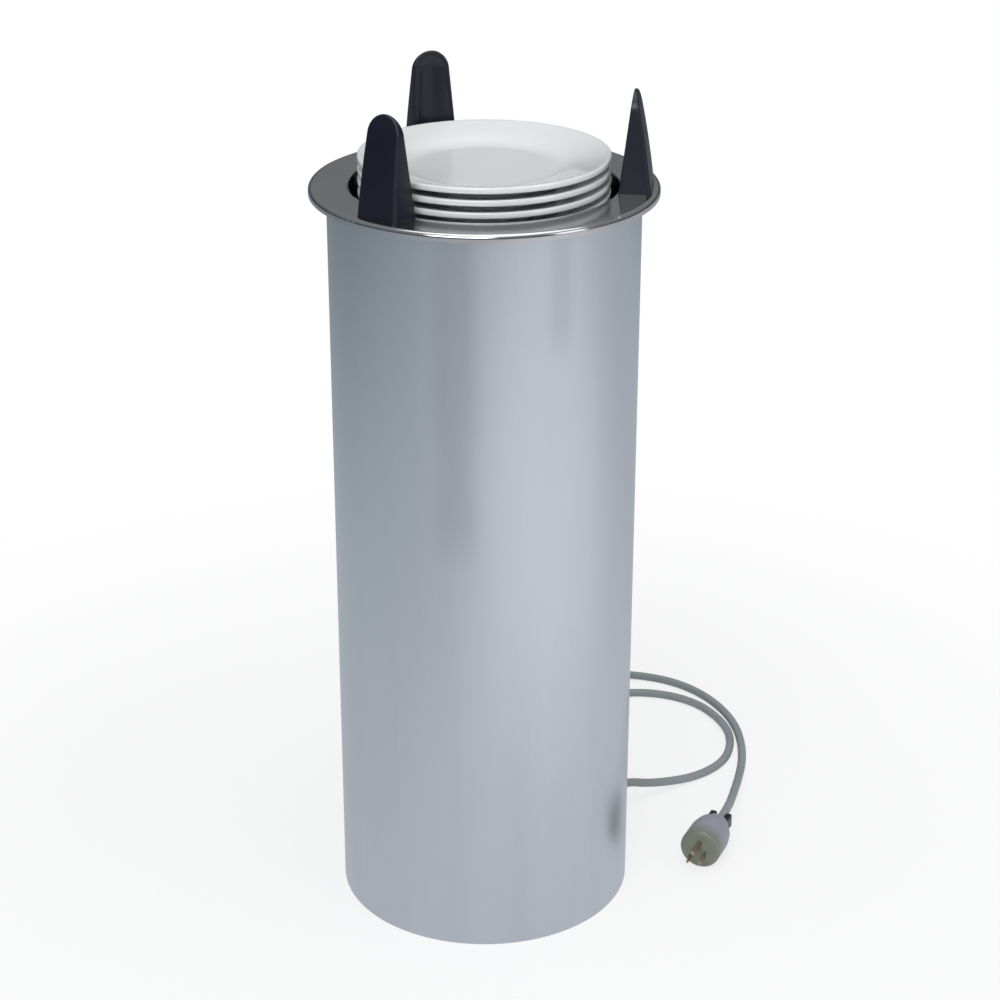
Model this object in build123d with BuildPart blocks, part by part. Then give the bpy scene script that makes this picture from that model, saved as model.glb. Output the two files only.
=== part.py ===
from build123d import *
import os
from math import cos, hypot, pi, radians, sin, sqrt, tan

# Round drop-in plate dispenser with a heated base. Millimetres, +Z up, origin at the centre of the foot.
# A tubular body hangs in a counter by its flange. Springs carry a platform that keeps the top plate at
# the height of the counter, three guides keep the stack upright, and a ring heater warms the well.

os.makedirs("parts", exist_ok=True)

# Body and flange
body_d = 286.0
body_height = 722.0
shell_wall = 1.2
flange_overhang = 16.0
flange_sheet = 1.5
lip_depth = 7.5
lip_corner = 4.0
lip_return = 6.0
ring_gap = 21.0
throat_depth = 22.0
throat_corner = 3.0
fit_gap = 0.1
cut_over = 1.0

# Plate guides: wedges with a round top that lean outwards
guide_angle = -8.8
guide_foot_width = 43.5
guide_top_width = 33.0
guide_height = 90.0
guide_setback = 1.0
guide_depth = 29.0
guide_lean = 10.6
guide_tip = 3.0
guide_bulge = 1.2
guide_edge = 4.0
guide_tip_edge = 1.2
panel_border = 4.5
panel_depth = 0.8
guide_screw_inset = 12.0
guide_screw_spread = 18.0
guide_screw_grip = 14.0

# Screws
screw_d = 5.0
screw_head_d = 9.0
screw_head = 3.0
low_head = 2.0
screw_slack = 0.1

# Base: pan, heater tray and posts
pan_lift = 8.0
pan_sheet = 1.2
pan_return = 10.0
tray_height = 62.0
tray_sheet = 1.2
tray_rim = 10.0
post_d = 12.0
post_inset = 33.0
post_grip = 12.0
vent_d = 12.0
pan_vent_ring_d = 62.0
pan_vents = 8
tray_vent_d = 14.0
tray_vent_ring_d = 50.0
tray_vents = 8

# Heater
heater_inset = 55.0
heater_tube_d = 8.5
heater_clearance = 14.0
heater_gap = 30.0
heater_angle = 90.0
heater_bend = 12.0
heater_leg = 16.0
heater_sleeve = 1.5
heater_pin_d = 3.0
heater_pin = 8.0
clip_width = 12.0
clip_sheet = 1.2
clip_foot = 11.0

# Snap-disc controls under the tray
disc_body_d = 17.0
disc_body = 15.0
disc_ear_length = 33.0
disc_ear_width = 9.0
disc_ear = 1.0
tab_width = 6.3
tab_thick = 0.8
tab_length = 8.0
tab_spacing = 8.0
thermostat_place = (-46.0, 18.0)
high_limit_place = (-30.0, -52.0)

# Terminal block and earth stud on the pan
block_length = 44.0
block_width = 20.0
block_height = 20.0
block_gap = 36.8
poles = 3
terminal_sink = 5.0
terminal_head = 4.0
stud_inset = 30.4
stud_angle = 6.1
stud_d = 5.0
stud_height = 16.0
stud_nut_d = 9.0
stud_nut = 4.0

# Rails in the ring between the plates and the shell
rail_play = 0.7
rail_sheet = 1.5
rail_top_gap = 2.0
stop_reach = 11.0
stop_width = 14.0

# Plates: three rims show over the flange, and five stand on the platform
plate_slack = 7.5
plate_pitch = 11.0
plate_wall = 5.5
plate_height = 24.0
plate_rim = 27.5
plate_slope_run = 17.0
plate_slope_rise = 6.8
plate_foot_inset = 6.0
plate_foot_width = 5.0
plate_foot_taper = 1.0
plate_bend = 8.0
plate_count = 5
plate_rise = 27.5
rest_gap = 0.3

# Carrier
platform_inset = 10.5
platform_sheet = 2.0
platform_rim = 12.0
platform_hole_d = 44.0
platform_vent_d = 24.0
platform_vent_radius = 42.0
platform_vents = 6
edge_vent_d = 16.0
edge_vent_inset = 20.0
edge_vents = 12
carrier_height = 150.0
leg_sheet = 3.0
leg_inset = 4.0
leg_arm = 48.0
leg_notch = 0.5
leg_bend = 5.0
ring_width = 6.0
ring_sheet = 3.0
travel_up = 25.0
bumper_d = 10.0
bumper_height = 31.7
bolt_inset = 7.0
bolt_pitch = 14.0
nut_height = 4.0
bolt_end = 1.0

# Rollers on the carrier's legs
roller_d = 17.0
roller_width = 13.8
roller_edge = 1.0
roller_play = 0.25
roller_side_play = 0.3
pin_d = 5.0
bore_play = 0.05
pin_play = 0.02
ear_d = 14.0
ear_sheet = 1.8
ear_root = 1.0
pin_end = 0.8
upper_roller_drop = 25.0
lower_roller_rise = 15.0

# Springs: two at each of three stations between the rails
spring_d = 12.0
spring_wire = 1.6
spring_pitch = 16.0
spring_outset = 2.6
spring_hook_gap = 8.0
spring_eye_d = 4.4
hook_reach = 5.0
hook_bend = 1.6
hanger_drop = 10.0
hanger_sheet = 2.0
hanger_back = 1.5
hanger_width = 34.0
hanger_margin = 7.0
tab_margin = 5.5

# Mains cord, its strain relief and its plug
cord_d = 9.0
exit_angle = 38.0
exit_height = 26.0
relief_length = 29.0
relief_root_d = 18.0
relief_end_d = 12.0
relief_flange_d = 24.0
relief_flange = 4.0
relief_neck_d = 18.0
relief_neck_gap = 0.3
relief_nut_d = 25.0
relief_nut = 5.0
nut_seat = 0.6
groove_steps = (0.3, 0.5, 0.7)
groove_width = 1.6
groove_wall = 1.2
tail_length = 24.0
cord_run_out = 20.0
cord_run_in = 34.0
plug_d = 42.0
plug_body = 54.0
plug_neck_d = 26.0
plug_collar = 4.6
plug_shoulder = 12.0
plug_swell = 12.0
plug_step = 2.5
plug_face_edge = 2.0
plug_heading = 244.8
plug_back = (240.9, 39.1)
plug_lift = 0.1
jaw_length = 13.0
jaw_width = 7.0
jaw_height = 15.0
jaw_gap = 0.1
jaw_edge = 2.0
jaw_screw_d = 4.0
jaw_screw_head = 1.2
blade_width = 6.35
blade_thick = 1.5
blade_length = 18.0
blade_spacing = 12.7
blade_raise = 4.0
earth_pin_d = 4.8
earth_pin_length = 21.0
earth_pin_offset = 11.9

# Leads in the base. Each passes points beside the piece that it goes to, given in X, Y and height.
lead_d = 3.2
lead_bend = 14.0
lead_straight = 5.0
core_spread = 2.6
core_drop = 2.0
core_rise = 1.0
tab_bend = 7.0
leg_bend_in = Vector(0, 0, 2.0)
leg_bend_out = Vector(0, 0, 4.0)
past_thermostat = Vector(14.0, 12.0, 4.0)
between_discs = Vector(3.0, -28.0, 2.0)
past_high_limit = Vector(-42.0, 8.0, 0)
round_thermostat = Vector(-72.0, -60.0, 0)
before_leg_in = Vector(-30.0, -8.0, 0)
before_leg_out = Vector(-8.0, -40.0, 8.0)
above_nut = 4.0
before_stud = Vector(-4.0, 24.0, 2.0)
at_stud = Vector(0, 9.0, 0)
stud_touch = 0.2

# The cord's route on the floor, from the strain relief round the right side and behind the body, and
# back to the plug. Heights are of the cord's middle.
cord_floor = cord_d / 2 + 0.1
cord_route = [
    (174.0, 130.5, 16.5),
    (199.0, 147.0, 8.5),
    (225.0, 161.0, cord_floor + 0.2),
    (248.0, 177.0, cord_floor),
    (266.0, 199.0, cord_floor),
    (276.0, 229.0, cord_floor),
    (275.0, 262.0, cord_floor),
    (263.0, 294.0, cord_floor),
    (243.0, 322.0, cord_floor),
    (215.0, 344.0, cord_floor),
    (181.0, 355.5, cord_floor),
    (146.0, 351.0, cord_floor),
    (108.0, 334.0, cord_floor),
    (66.0, 306.0, cord_floor),
    (20.0, 272.0, cord_floor),
    (-30.0, 245.0, cord_floor),
    (-78.0, 236.0, cord_floor),
    (-122.0, 252.0, cord_floor),
    (-147.0, 292.0, cord_floor),
    (-148.0, 340.0, cord_floor),
    (-122.0, 384.0, cord_floor),
    (-78.0, 411.0, cord_floor),
    (-24.0, 422.0, cord_floor),
    (34.0, 423.0, cord_floor),
    (90.0, 414.0, cord_floor),
    (141.0, 403.0, cord_floor),
    (185.0, 398.0, cord_floor),
    (222.0, 383.0, cord_floor),
    (251.0, 357.0, cord_floor),
    (273.0, 321.0, cord_floor),
    (286.0, 280.0, cord_floor),
    (291.0, 238.0, cord_floor),
    (289.5, 197.0, cord_floor + 0.6),
    (282.5, 158.0, cord_floor + 3.5),
    (271.5, 114.0, cord_floor + 10.0),
]
cord_corner_share = 0.45

# Sizes worked out from the ones above
body_r = body_d / 2
shell_in = body_r - shell_wall
flange_d = body_d + 2 * flange_overhang
flange_r = flange_d / 2
well_d = body_d - 2 * ring_gap
well_r = well_d / 2
top = body_height
under_flange = top - flange_sheet
tray_top = tray_height + tray_sheet
pan_top = pan_lift + pan_sheet
station_angles = [guide_angle + 120.0 * i for i in range(3)]
spring_angles = [a + 60.0 for a in station_angles]
plate_d = well_d - 2 * plate_slack
plate_r = plate_d / 2
plate_slope_d = plate_d - 2 * plate_rim
plate_well_d = plate_slope_d - 2 * plate_slope_run
plate_foot_d = plate_well_d - 2 * plate_foot_inset
plate_top = top + plate_rise
platform_d = plate_d - 2 * platform_inset
platform_r = platform_d / 2
edge_vent_radius = platform_r - edge_vent_inset
platform_top = plate_top - plate_height - (plate_count - 1) * plate_pitch - rest_gap
carrier_foot = platform_top - carrier_height
upper_roller = platform_top - upper_roller_drop
lower_roller_drop = carrier_height - lower_roller_rise
lower_roller = platform_top - lower_roller_drop
bumper_top = tray_top + bumper_height
travel_down = carrier_foot - rest_gap - bumper_top
ear_in = roller_width / 2 + roller_side_play
leg_width = 2 * (ear_in + ear_sheet)
rail_width = leg_width + 2 * (pin_end + rail_play + rail_sheet)
rail_back = sqrt(shell_in**2 - (rail_width / 2) ** 2) - fit_gap
rail_web = rail_back - rail_sheet
rail_top = top - throat_depth - rail_top_gap
roller_at = rail_web - roller_play - roller_d / 2
leg_radius = well_r - leg_inset
leg_in = leg_radius - leg_sheet
bolt_at = leg_radius - leg_arm + bolt_inset + bolt_pitch / 2
spring_at = (leg_radius + rail_web) / 2 + spring_outset
hanger_under = top - throat_depth - hanger_drop - hanger_sheet
hanger_back_at = sqrt(shell_in**2 - (hanger_width / 2) ** 2) - fit_gap
post_radius = body_r - post_inset
heater_ring_d = body_d - 2 * heater_inset
heater_r = heater_ring_d / 2
heater_z = tray_top + heater_clearance + heater_tube_d / 2
relief_end = body_r + relief_length


def save(piece, name):
    """Label a finished piece and write its STEP file."""
    piece.part.label = name
    export_step(piece.part, f"parts/{name}.step")


def polar(radius, angle, height, aside=0.0):
    """The point at a radius and angle, moved aside along the tangent."""
    a = radians(angle)
    return (radius * cos(a) - aside * sin(a), radius * sin(a) + aside * cos(a), height)


def level(angle, height):
    """A level plane whose X runs outwards at an angle."""
    a = radians(angle)
    return Plane(origin=(0, 0, height), x_dir=(cos(a), sin(a), 0), z_dir=(0, 0, 1))


def upright(angle, aside=0.0):
    """A plane through the body's axis, X outwards and Y up, moved aside along the tangent."""
    a = radians(angle)
    return Plane(origin=polar(0, angle, 0, aside), x_dir=(cos(a), sin(a), 0), z_dir=(sin(a), -cos(a), 0))


def facing(angle, radius, height=0.0):
    """A plane that faces outwards at a radius, X along the tangent and Y up."""
    a = radians(angle)
    return Plane(origin=polar(radius, angle, height), x_dir=(-sin(a), cos(a), 0), z_dir=(cos(a), sin(a), 0))


def corner_radii(points, share=cord_corner_share):
    """The largest arc at each corner of a route that takes up a share of its shorter run."""
    radii = []
    for before, here, after in zip(points, points[1:], points[2:]):
        first, second = Vector(*here) - Vector(*before), Vector(*after) - Vector(*here)
        half_turn = radians(first.get_angle(second)) / 2
        radii.append(share * min(first.length, second.length) / tan(half_turn))
    return radii


# Outer shell: a rolled tube, open at both ends, with a hole for the strain relief
with BuildPart() as outer_shell:
    with BuildSketch():
        Circle(body_r)
        Circle(shell_in, mode=Mode.SUBTRACT)
    extrude(amount=under_flange)
    with BuildSketch(facing(exit_angle, body_r / 2, exit_height)):
        Circle(relief_neck_d / 2 + relief_neck_gap)
    extrude(amount=body_r, mode=Mode.SUBTRACT)
save(outer_shell, "outer_shell")

# Top flange: a spun ring with a throat turned down into the well and a lip turned down and under
lip_in = lip_corner - flange_sheet
throat_in = throat_corner - flange_sheet
with BuildPart() as top_flange:
    with BuildSketch(Plane.XZ):
        with BuildLine():
            Line((well_r, top - throat_depth), (well_r, top - throat_corner))
            RadiusArc((well_r, top - throat_corner), (well_r + throat_corner, top), throat_corner)
            Line((well_r + throat_corner, top), (flange_r - lip_corner, top))
            RadiusArc((flange_r - lip_corner, top), (flange_r, top - lip_corner), lip_corner)
            Polyline(
                (flange_r, top - lip_corner),
                (flange_r, top - lip_depth),
                (flange_r - lip_return, top - lip_depth),
                (flange_r - lip_return, top - lip_depth + flange_sheet),
                (flange_r - flange_sheet, top - lip_depth + flange_sheet),
                (flange_r - flange_sheet, top - lip_corner),
            )
            RadiusArc(
                (flange_r - flange_sheet, top - lip_corner),
                (flange_r - lip_corner, under_flange),
                -lip_in,
            )
            Line((flange_r - lip_corner, under_flange), (well_r + throat_corner, under_flange))
            RadiusArc(
                (well_r + throat_corner, under_flange),
                (well_r + flange_sheet, top - throat_corner),
                -throat_in,
            )
            Polyline(
                (well_r + flange_sheet, top - throat_corner),
                (well_r + flange_sheet, top - throat_depth),
                (well_r, top - throat_depth),
            )
        make_face()
    revolve(axis=Axis.Z)
    for angle in station_angles:
        with BuildSketch(level(angle, under_flange - cut_over)):
            with Locations((well_r + guide_screw_inset, 0)):
                with GridLocations(0, guide_screw_spread, 1, 2):
                    Circle(screw_d / 2 + screw_slack)
        extrude(amount=flange_sheet + 2 * cut_over, mode=Mode.SUBTRACT)
save(top_flange, "top_flange")

# Plate guides: lofted wedges with rounded outer edges, cut to a round top, with a sunk inner panel
guide_in = well_r + guide_setback
guide_levels = [0.0, 0.4, 0.75, 1.0]
guide_taper = guide_foot_width - guide_top_width
guide_round = guide_top_width / 2 / (1 - guide_taper / (2 * guide_height))
guide_shoulder = guide_height - guide_round
guide_slope = hypot(guide_lean, guide_height)
for name, angle in zip(("guide_right", "guide_rear", "guide_front"), station_angles):
    with BuildPart() as guide:
        for share in guide_levels:
            inner = guide_in + guide_lean * share
            straight = guide_in + guide_depth + (guide_lean + guide_tip - guide_depth) * share
            outer = straight + 4 * guide_bulge * share * (1 - share)
            edge = guide_edge + (guide_tip_edge - guide_edge) * share
            with BuildSketch(level(angle, top + guide_height * share)) as section:
                with Locations(((inner + outer) / 2, 0)):
                    Rectangle(outer - inner, guide_foot_width - guide_taper * share)
                fillet(section.vertices().group_by(SortBy.DISTANCE)[-1], edge)
        loft()
        with BuildSketch(facing(angle, guide_in / 2)):
            with BuildLine():
                Polyline(
                    (-guide_foot_width / 2, top),
                    (guide_foot_width / 2, top),
                    (guide_round, top + guide_shoulder),
                    (-guide_round, top + guide_shoulder),
                    close=True,
                )
            make_face()
            with Locations((0, top + guide_shoulder)):
                Circle(guide_round)
        extrude(amount=body_r, mode=Mode.INTERSECT)
        lean = Plane(
            origin=polar(guide_in, angle, top),
            x_dir=facing(angle, 0).x_dir,
            z_dir=Vector(*polar(guide_height, angle, -guide_lean)),
        )
        panel_foot = guide_foot_width / 2 - panel_border
        panel_round = guide_round - panel_border
        panel_height = guide_slope - guide_round
        with BuildSketch(lean):
            with BuildLine():
                Polyline(
                    (-panel_foot, panel_border),
                    (panel_foot, panel_border),
                    (panel_round, panel_height),
                    (-panel_round, panel_height),
                    close=True,
                )
            make_face()
            with Locations((0, panel_height)):
                Circle(panel_round)
        extrude(amount=panel_depth, mode=Mode.SUBTRACT)
        with BuildSketch(level(angle, top)):
            with Locations((well_r + guide_screw_inset, 0)):
                with GridLocations(0, guide_screw_spread, 1, 2):
                    Circle(screw_d / 2 + screw_slack)
        extrude(amount=guide_screw_grip + cut_over, mode=Mode.SUBTRACT)
    save(guide, name)

# Guide screws: two into each guide from under the flange
with BuildPart() as guide_screws:
    for angle in station_angles:
        with BuildSketch(level(angle, under_flange)):
            with Locations((well_r + guide_screw_inset, 0)):
                with GridLocations(0, guide_screw_spread, 1, 2):
                    Circle(screw_head_d / 2)
        extrude(amount=-screw_head)
        with BuildSketch(level(angle, under_flange - cut_over)):
            with Locations((well_r + guide_screw_inset, 0)):
                with GridLocations(0, guide_screw_spread, 1, 2):
                    Circle(screw_d / 2)
        extrude(amount=cut_over + flange_sheet + guide_screw_grip)
save(guide_screws, "guide_screws")

# Guide rails: channels on the shell's inside, open towards the carrier
for number, angle in enumerate(station_angles, 1):
    with BuildPart() as rail:
        with BuildSketch(level(angle, tray_top)):
            with Locations(((well_r + rail_back) / 2, 0)):
                Rectangle(rail_back - well_r, rail_width)
            with Locations(((well_r + rail_web) / 2 - rail_sheet / 2, 0)):
                Rectangle(rail_web - well_r + rail_sheet, rail_width - 2 * rail_sheet, mode=Mode.SUBTRACT)
        extrude(amount=rail_top - tray_top)
    save(rail, f"guide_rail_{number}")

# Rail stops: rubber blocks at the top of the rails that end the carrier's upward travel
stop_under = upper_roller + roller_d / 2 + travel_up + rest_gap
with BuildPart() as rail_stops:
    for angle in station_angles:
        with BuildSketch(level(angle, stop_under)):
            with Locations((rail_web - stop_reach / 2, 0)):
                Rectangle(stop_reach, stop_width)
        extrude(amount=rail_top - stop_under)
save(rail_stops, "rail_stops")

# Bottom pan: a vented floor with a rim turned down and in, which the body stands on
pan_r = shell_in - fit_gap
with BuildPart() as bottom_pan:
    with BuildSketch(Plane.XZ):
        with BuildLine():
            Polyline(
                (0, pan_lift),
                (pan_r - pan_sheet, pan_lift),
                (pan_r - pan_sheet, pan_sheet),
                (pan_r - pan_return, pan_sheet),
                (pan_r - pan_return, 0),
                (pan_r, 0),
                (pan_r, pan_top),
                (0, pan_top),
                close=True,
            )
        make_face()
    revolve(axis=Axis.Z)
    with BuildSketch(level(exit_angle, pan_lift - cut_over)):
        with PolarLocations(pan_vent_ring_d / 2, pan_vents):
            Circle(vent_d / 2)
    extrude(amount=pan_sheet + 2 * cut_over, mode=Mode.SUBTRACT)
    for angle in spring_angles:
        with BuildSketch(level(angle, pan_lift - cut_over)):
            with Locations((post_radius, 0)):
                Circle(screw_d / 2 + screw_slack)
        extrude(amount=pan_sheet + 2 * cut_over, mode=Mode.SUBTRACT)
save(bottom_pan, "bottom_pan")

# Posts between the pan and the heater tray
with BuildPart() as tray_posts:
    for angle in spring_angles:
        with BuildSketch(level(angle, pan_top)):
            with Locations((post_radius, 0)):
                Circle(post_d / 2)
        extrude(amount=tray_height - pan_top)
        for start, reach in ((pan_top, post_grip), (tray_height, -post_grip)):
            with BuildSketch(level(angle, start)):
                with Locations((post_radius, 0)):
                    Circle(screw_d / 2 + screw_slack)
            extrude(amount=reach * (1 + cut_over / post_grip), mode=Mode.SUBTRACT)
save(tray_posts, "tray_posts")

# Screws at both ends of the posts
with BuildPart() as post_screws:
    for angle in spring_angles:
        for seat, inwards in ((pan_lift, 1), (tray_top, -1)):
            with BuildSketch(level(angle, seat)):
                with Locations((post_radius, 0)):
                    Circle(screw_head_d / 2)
            extrude(amount=-inwards * low_head)
            with BuildSketch(level(angle, seat - inwards * cut_over)):
                with Locations((post_radius, 0)):
                    Circle(screw_d / 2)
            extrude(amount=inwards * (cut_over + pan_sheet + post_grip))
save(post_screws, "post_screws")

# Heater tray: a vented disc with a rim turned down, with holes for the heater's legs
heater_ends = [heater_angle - heater_gap / 2, heater_angle + heater_gap / 2]
leg_spots = [polar(heater_r, heater_ends[0], 0, heater_bend), polar(heater_r, heater_ends[1], 0, -heater_bend)]
with BuildPart() as heater_tray:
    with BuildSketch(Plane.XZ):
        with BuildLine():
            Polyline(
                (0, tray_height),
                (pan_r - tray_sheet, tray_height),
                (pan_r - tray_sheet, tray_height - tray_rim),
                (pan_r, tray_height - tray_rim),
                (pan_r, tray_top),
                (0, tray_top),
                close=True,
            )
        make_face()
    revolve(axis=Axis.Z)
    with BuildSketch(Plane.XY.offset(tray_height - cut_over)):
        with PolarLocations(tray_vent_ring_d / 2, tray_vents):
            Circle(tray_vent_d / 2)
        with Locations(*[spot[:2] for spot in leg_spots]):
            Circle(heater_tube_d / 2 + heater_sleeve)
    extrude(amount=tray_sheet + 2 * cut_over, mode=Mode.SUBTRACT)
    for angle in spring_angles:
        with BuildSketch(level(angle, tray_height - cut_over)):
            with Locations((post_radius, 0)):
                Circle(screw_d / 2 + screw_slack)
        extrude(amount=tray_sheet + 2 * cut_over, mode=Mode.SUBTRACT)
save(heater_tray, "heater_tray")

# Heater element: a ring of sheathed tube whose two ends turn down through the tray
leg_foot = tray_height - heater_leg
with BuildPart() as heater_element:
    with BuildLine():
        ring_start = polar(heater_r, heater_ends[1], heater_z)
        ring_far = polar(heater_r, heater_angle + 180, heater_z)
        ring_end = polar(heater_r, heater_ends[0], heater_z)
        quarter = (360 - heater_gap) / 4
        ring_first = polar(heater_r, heater_ends[1] + quarter, heater_z)
        ring_last = polar(heater_r, heater_ends[0] - quarter, heater_z)
        bend_drop = heater_bend * (1 - sqrt(0.5))
        bend_aside = heater_bend * sqrt(0.5)
        start_low = (*leg_spots[1][:2], heater_z - heater_bend)
        start_mid = polar(heater_r, heater_ends[1], heater_z - bend_drop, -bend_aside)
        end_low = (*leg_spots[0][:2], heater_z - heater_bend)
        end_mid = polar(heater_r, heater_ends[0], heater_z - bend_drop, bend_aside)
        Line((*leg_spots[1][:2], leg_foot), start_low)
        ThreePointArc(start_low, start_mid, ring_start)
        ThreePointArc(ring_start, ring_first, ring_far)
        ThreePointArc(ring_far, ring_last, ring_end)
        ThreePointArc(ring_end, end_mid, end_low)
        Line(end_low, (*leg_spots[0][:2], leg_foot))
    with BuildSketch(Plane(origin=(*leg_spots[1][:2], leg_foot), z_dir=(0, 0, 1))):
        Circle(heater_tube_d / 2)
    sweep()
    with BuildSketch(Plane.XY.offset(leg_foot)):
        with Locations(*[spot[:2] for spot in leg_spots]):
            Circle(heater_pin_d / 2)
    extrude(amount=-heater_pin)
save(heater_element, "heater_element")

# Heater clips: bent strips that hold the ring above the tray
clip_top = heater_z - heater_tube_d / 2
with BuildPart() as heater_clips:
    for turn in (90, 180, 270):
        with BuildSketch(upright(heater_angle + turn)):
            with BuildLine():
                Polyline(
                    (heater_r - clip_foot, tray_top),
                    (heater_r - clip_foot, tray_top + clip_sheet),
                    (heater_r - clip_sheet, tray_top + clip_sheet),
                    (heater_r - clip_sheet, clip_top),
                    (heater_r + clip_foot / 2, clip_top),
                    (heater_r + clip_foot / 2, clip_top - clip_sheet),
                    (heater_r, clip_top - clip_sheet),
                    (heater_r, tray_top),
                    close=True,
                )
            make_face()
        extrude(amount=clip_width / 2, both=True)
save(heater_clips, "heater_clips")

# Snap-disc thermostat and high limit: a round body with ears against the tray and two tabs below
for name, (x, y) in (("thermostat", thermostat_place), ("high_limit", high_limit_place)):
    with BuildPart() as snap_disc:
        with BuildSketch(Plane.XY.offset(tray_height)):
            with Locations((x, y)):
                Rectangle(disc_ear_length, disc_ear_width)
                Circle(disc_body_d / 2)
        extrude(amount=-disc_ear)
        with BuildSketch(Plane.XY.offset(tray_height - disc_ear)):
            with Locations((x, y)):
                Circle(disc_body_d / 2)
        extrude(amount=-disc_body)
        with BuildSketch(Plane.XY.offset(tray_height - disc_ear - disc_body)):
            with Locations((x, y)):
                with GridLocations(0, tab_spacing, 1, 2):
                    Rectangle(tab_width, tab_thick)
        extrude(amount=-tab_length)
    save(snap_disc, name)

# Terminal block on the pan, across the cord's way in
tail_end = shell_in - relief_nut - tail_length
block_radius = tail_end - block_gap - block_width / 2
pole = block_length / poles
block_top = pan_top + block_height
with BuildPart() as terminal_block:
    with BuildSketch(level(exit_angle, pan_top)):
        with Locations((block_radius, 0)):
            Rectangle(block_width, block_length)
    extrude(amount=block_height)
    with BuildSketch(level(exit_angle, block_top)):
        with Locations((block_radius, 0)):
            with GridLocations(block_width / 2, pole, 2, poles):
                Circle(screw_d / 2 + screw_slack)
    extrude(amount=-terminal_sink, mode=Mode.SUBTRACT)
save(terminal_block, "terminal_block")

# Terminal screws, sunk in the block
with BuildPart() as terminal_screws:
    with BuildSketch(level(exit_angle, block_top - terminal_sink)):
        with Locations((block_radius, 0)):
            with GridLocations(block_width / 2, pole, 2, poles):
                Circle(screw_d / 2)
    extrude(amount=terminal_head)
save(terminal_screws, "terminal_screws")

# Earth stud and its nut on the pan
stud_place = polar(body_r - stud_inset, stud_angle, 0)[:2]
with BuildPart() as earth_stud:
    with BuildSketch(Plane.XY.offset(pan_top)):
        with Locations(stud_place):
            Circle(stud_d / 2)
    extrude(amount=stud_height)
    with BuildSketch(Plane.XY.offset(pan_top)):
        with Locations(stud_place):
            RegularPolygon(stud_nut_d / 2, 6)
    extrude(amount=stud_nut)
save(earth_stud, "earth_stud")

# Leads inside the base, from the cord's tail to the block, the earth stud, the controls and the heater
block_face = block_radius + block_width / 2
block_back = block_radius - block_width / 2
lead_z = pan_top + block_height / 2
tab_foot = tray_height - disc_ear - disc_body - tab_length
to_tab = Vector(0, 0, tab_foot - lead_z - tab_bend)
near_tab = Vector(0, tab_spacing / 2, tab_bend)
far_tab = Vector(0, -tab_spacing / 2, tab_bend)
tail_run, face_run = tail_end - lead_straight, block_face + lead_straight
back_run = block_back - lead_straight
warm, hot = Vector(*thermostat_place, lead_z), Vector(*high_limit_place, lead_z)
leg_in_at, leg_out_at = [Vector(x, y, lead_z) for x, y, _ in reversed(leg_spots)]
to_pin = Vector(0, 0, leg_foot - heater_pin - lead_z)
stud_at = Vector(*stud_place, pan_top + stud_nut + above_nut)
lead_routes = {
    "line_leads": [
        [
            polar(tail_end, exit_angle, exit_height - core_drop),
            polar(tail_run, exit_angle, exit_height - core_drop),
            polar(face_run, exit_angle, lead_z),
            polar(block_face, exit_angle, lead_z),
        ],
        [
            polar(block_back, exit_angle, lead_z),
            polar(back_run, exit_angle, lead_z),
            warm + past_thermostat,
            warm + near_tab,
            warm + near_tab + to_tab,
        ],
        [
            warm + far_tab + to_tab,
            warm + far_tab,
            warm + between_discs,
            hot + near_tab,
            hot + near_tab + to_tab,
        ],
        [
            hot + far_tab + to_tab,
            hot + far_tab,
            hot + past_high_limit,
            leg_in_at + round_thermostat,
            leg_in_at + before_leg_in,
            leg_in_at + leg_bend_in,
            leg_in_at + to_pin,
        ],
    ],
    "neutral_leads": [
        [
            polar(tail_end, exit_angle, exit_height + core_rise, core_spread),
            polar(tail_run, exit_angle, exit_height + core_rise, core_spread),
            polar(face_run, exit_angle, lead_z, pole),
            polar(block_face, exit_angle, lead_z, pole),
        ],
        [
            polar(block_back, exit_angle, lead_z, pole),
            polar(back_run, exit_angle, lead_z, pole),
            leg_out_at + before_leg_out,
            leg_out_at + leg_bend_out,
            leg_out_at + to_pin,
        ],
    ],
    "earth_lead": [
        [
            polar(tail_end, exit_angle, exit_height + core_rise, -core_spread),
            polar(tail_run, exit_angle, exit_height + core_rise, -core_spread),
            stud_at + before_stud,
            stud_at + at_stud,
            stud_at + Vector(0, stud_d / 2 + stud_touch, 0),
        ],
    ],
}
for name, routes in lead_routes.items():
    with BuildPart() as leads:
        for points in routes:
            with BuildLine() as route:
                FilletPolyline(*points, radius=[min(r, lead_bend) for r in corner_radii(points)])
            with BuildSketch(Plane(origin=points[0], z_dir=Vector(*points[1]) - Vector(*points[0]))):
                Circle(lead_d / 2)
            sweep(path=route.wires()[0])
    save(leads, name)

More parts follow.
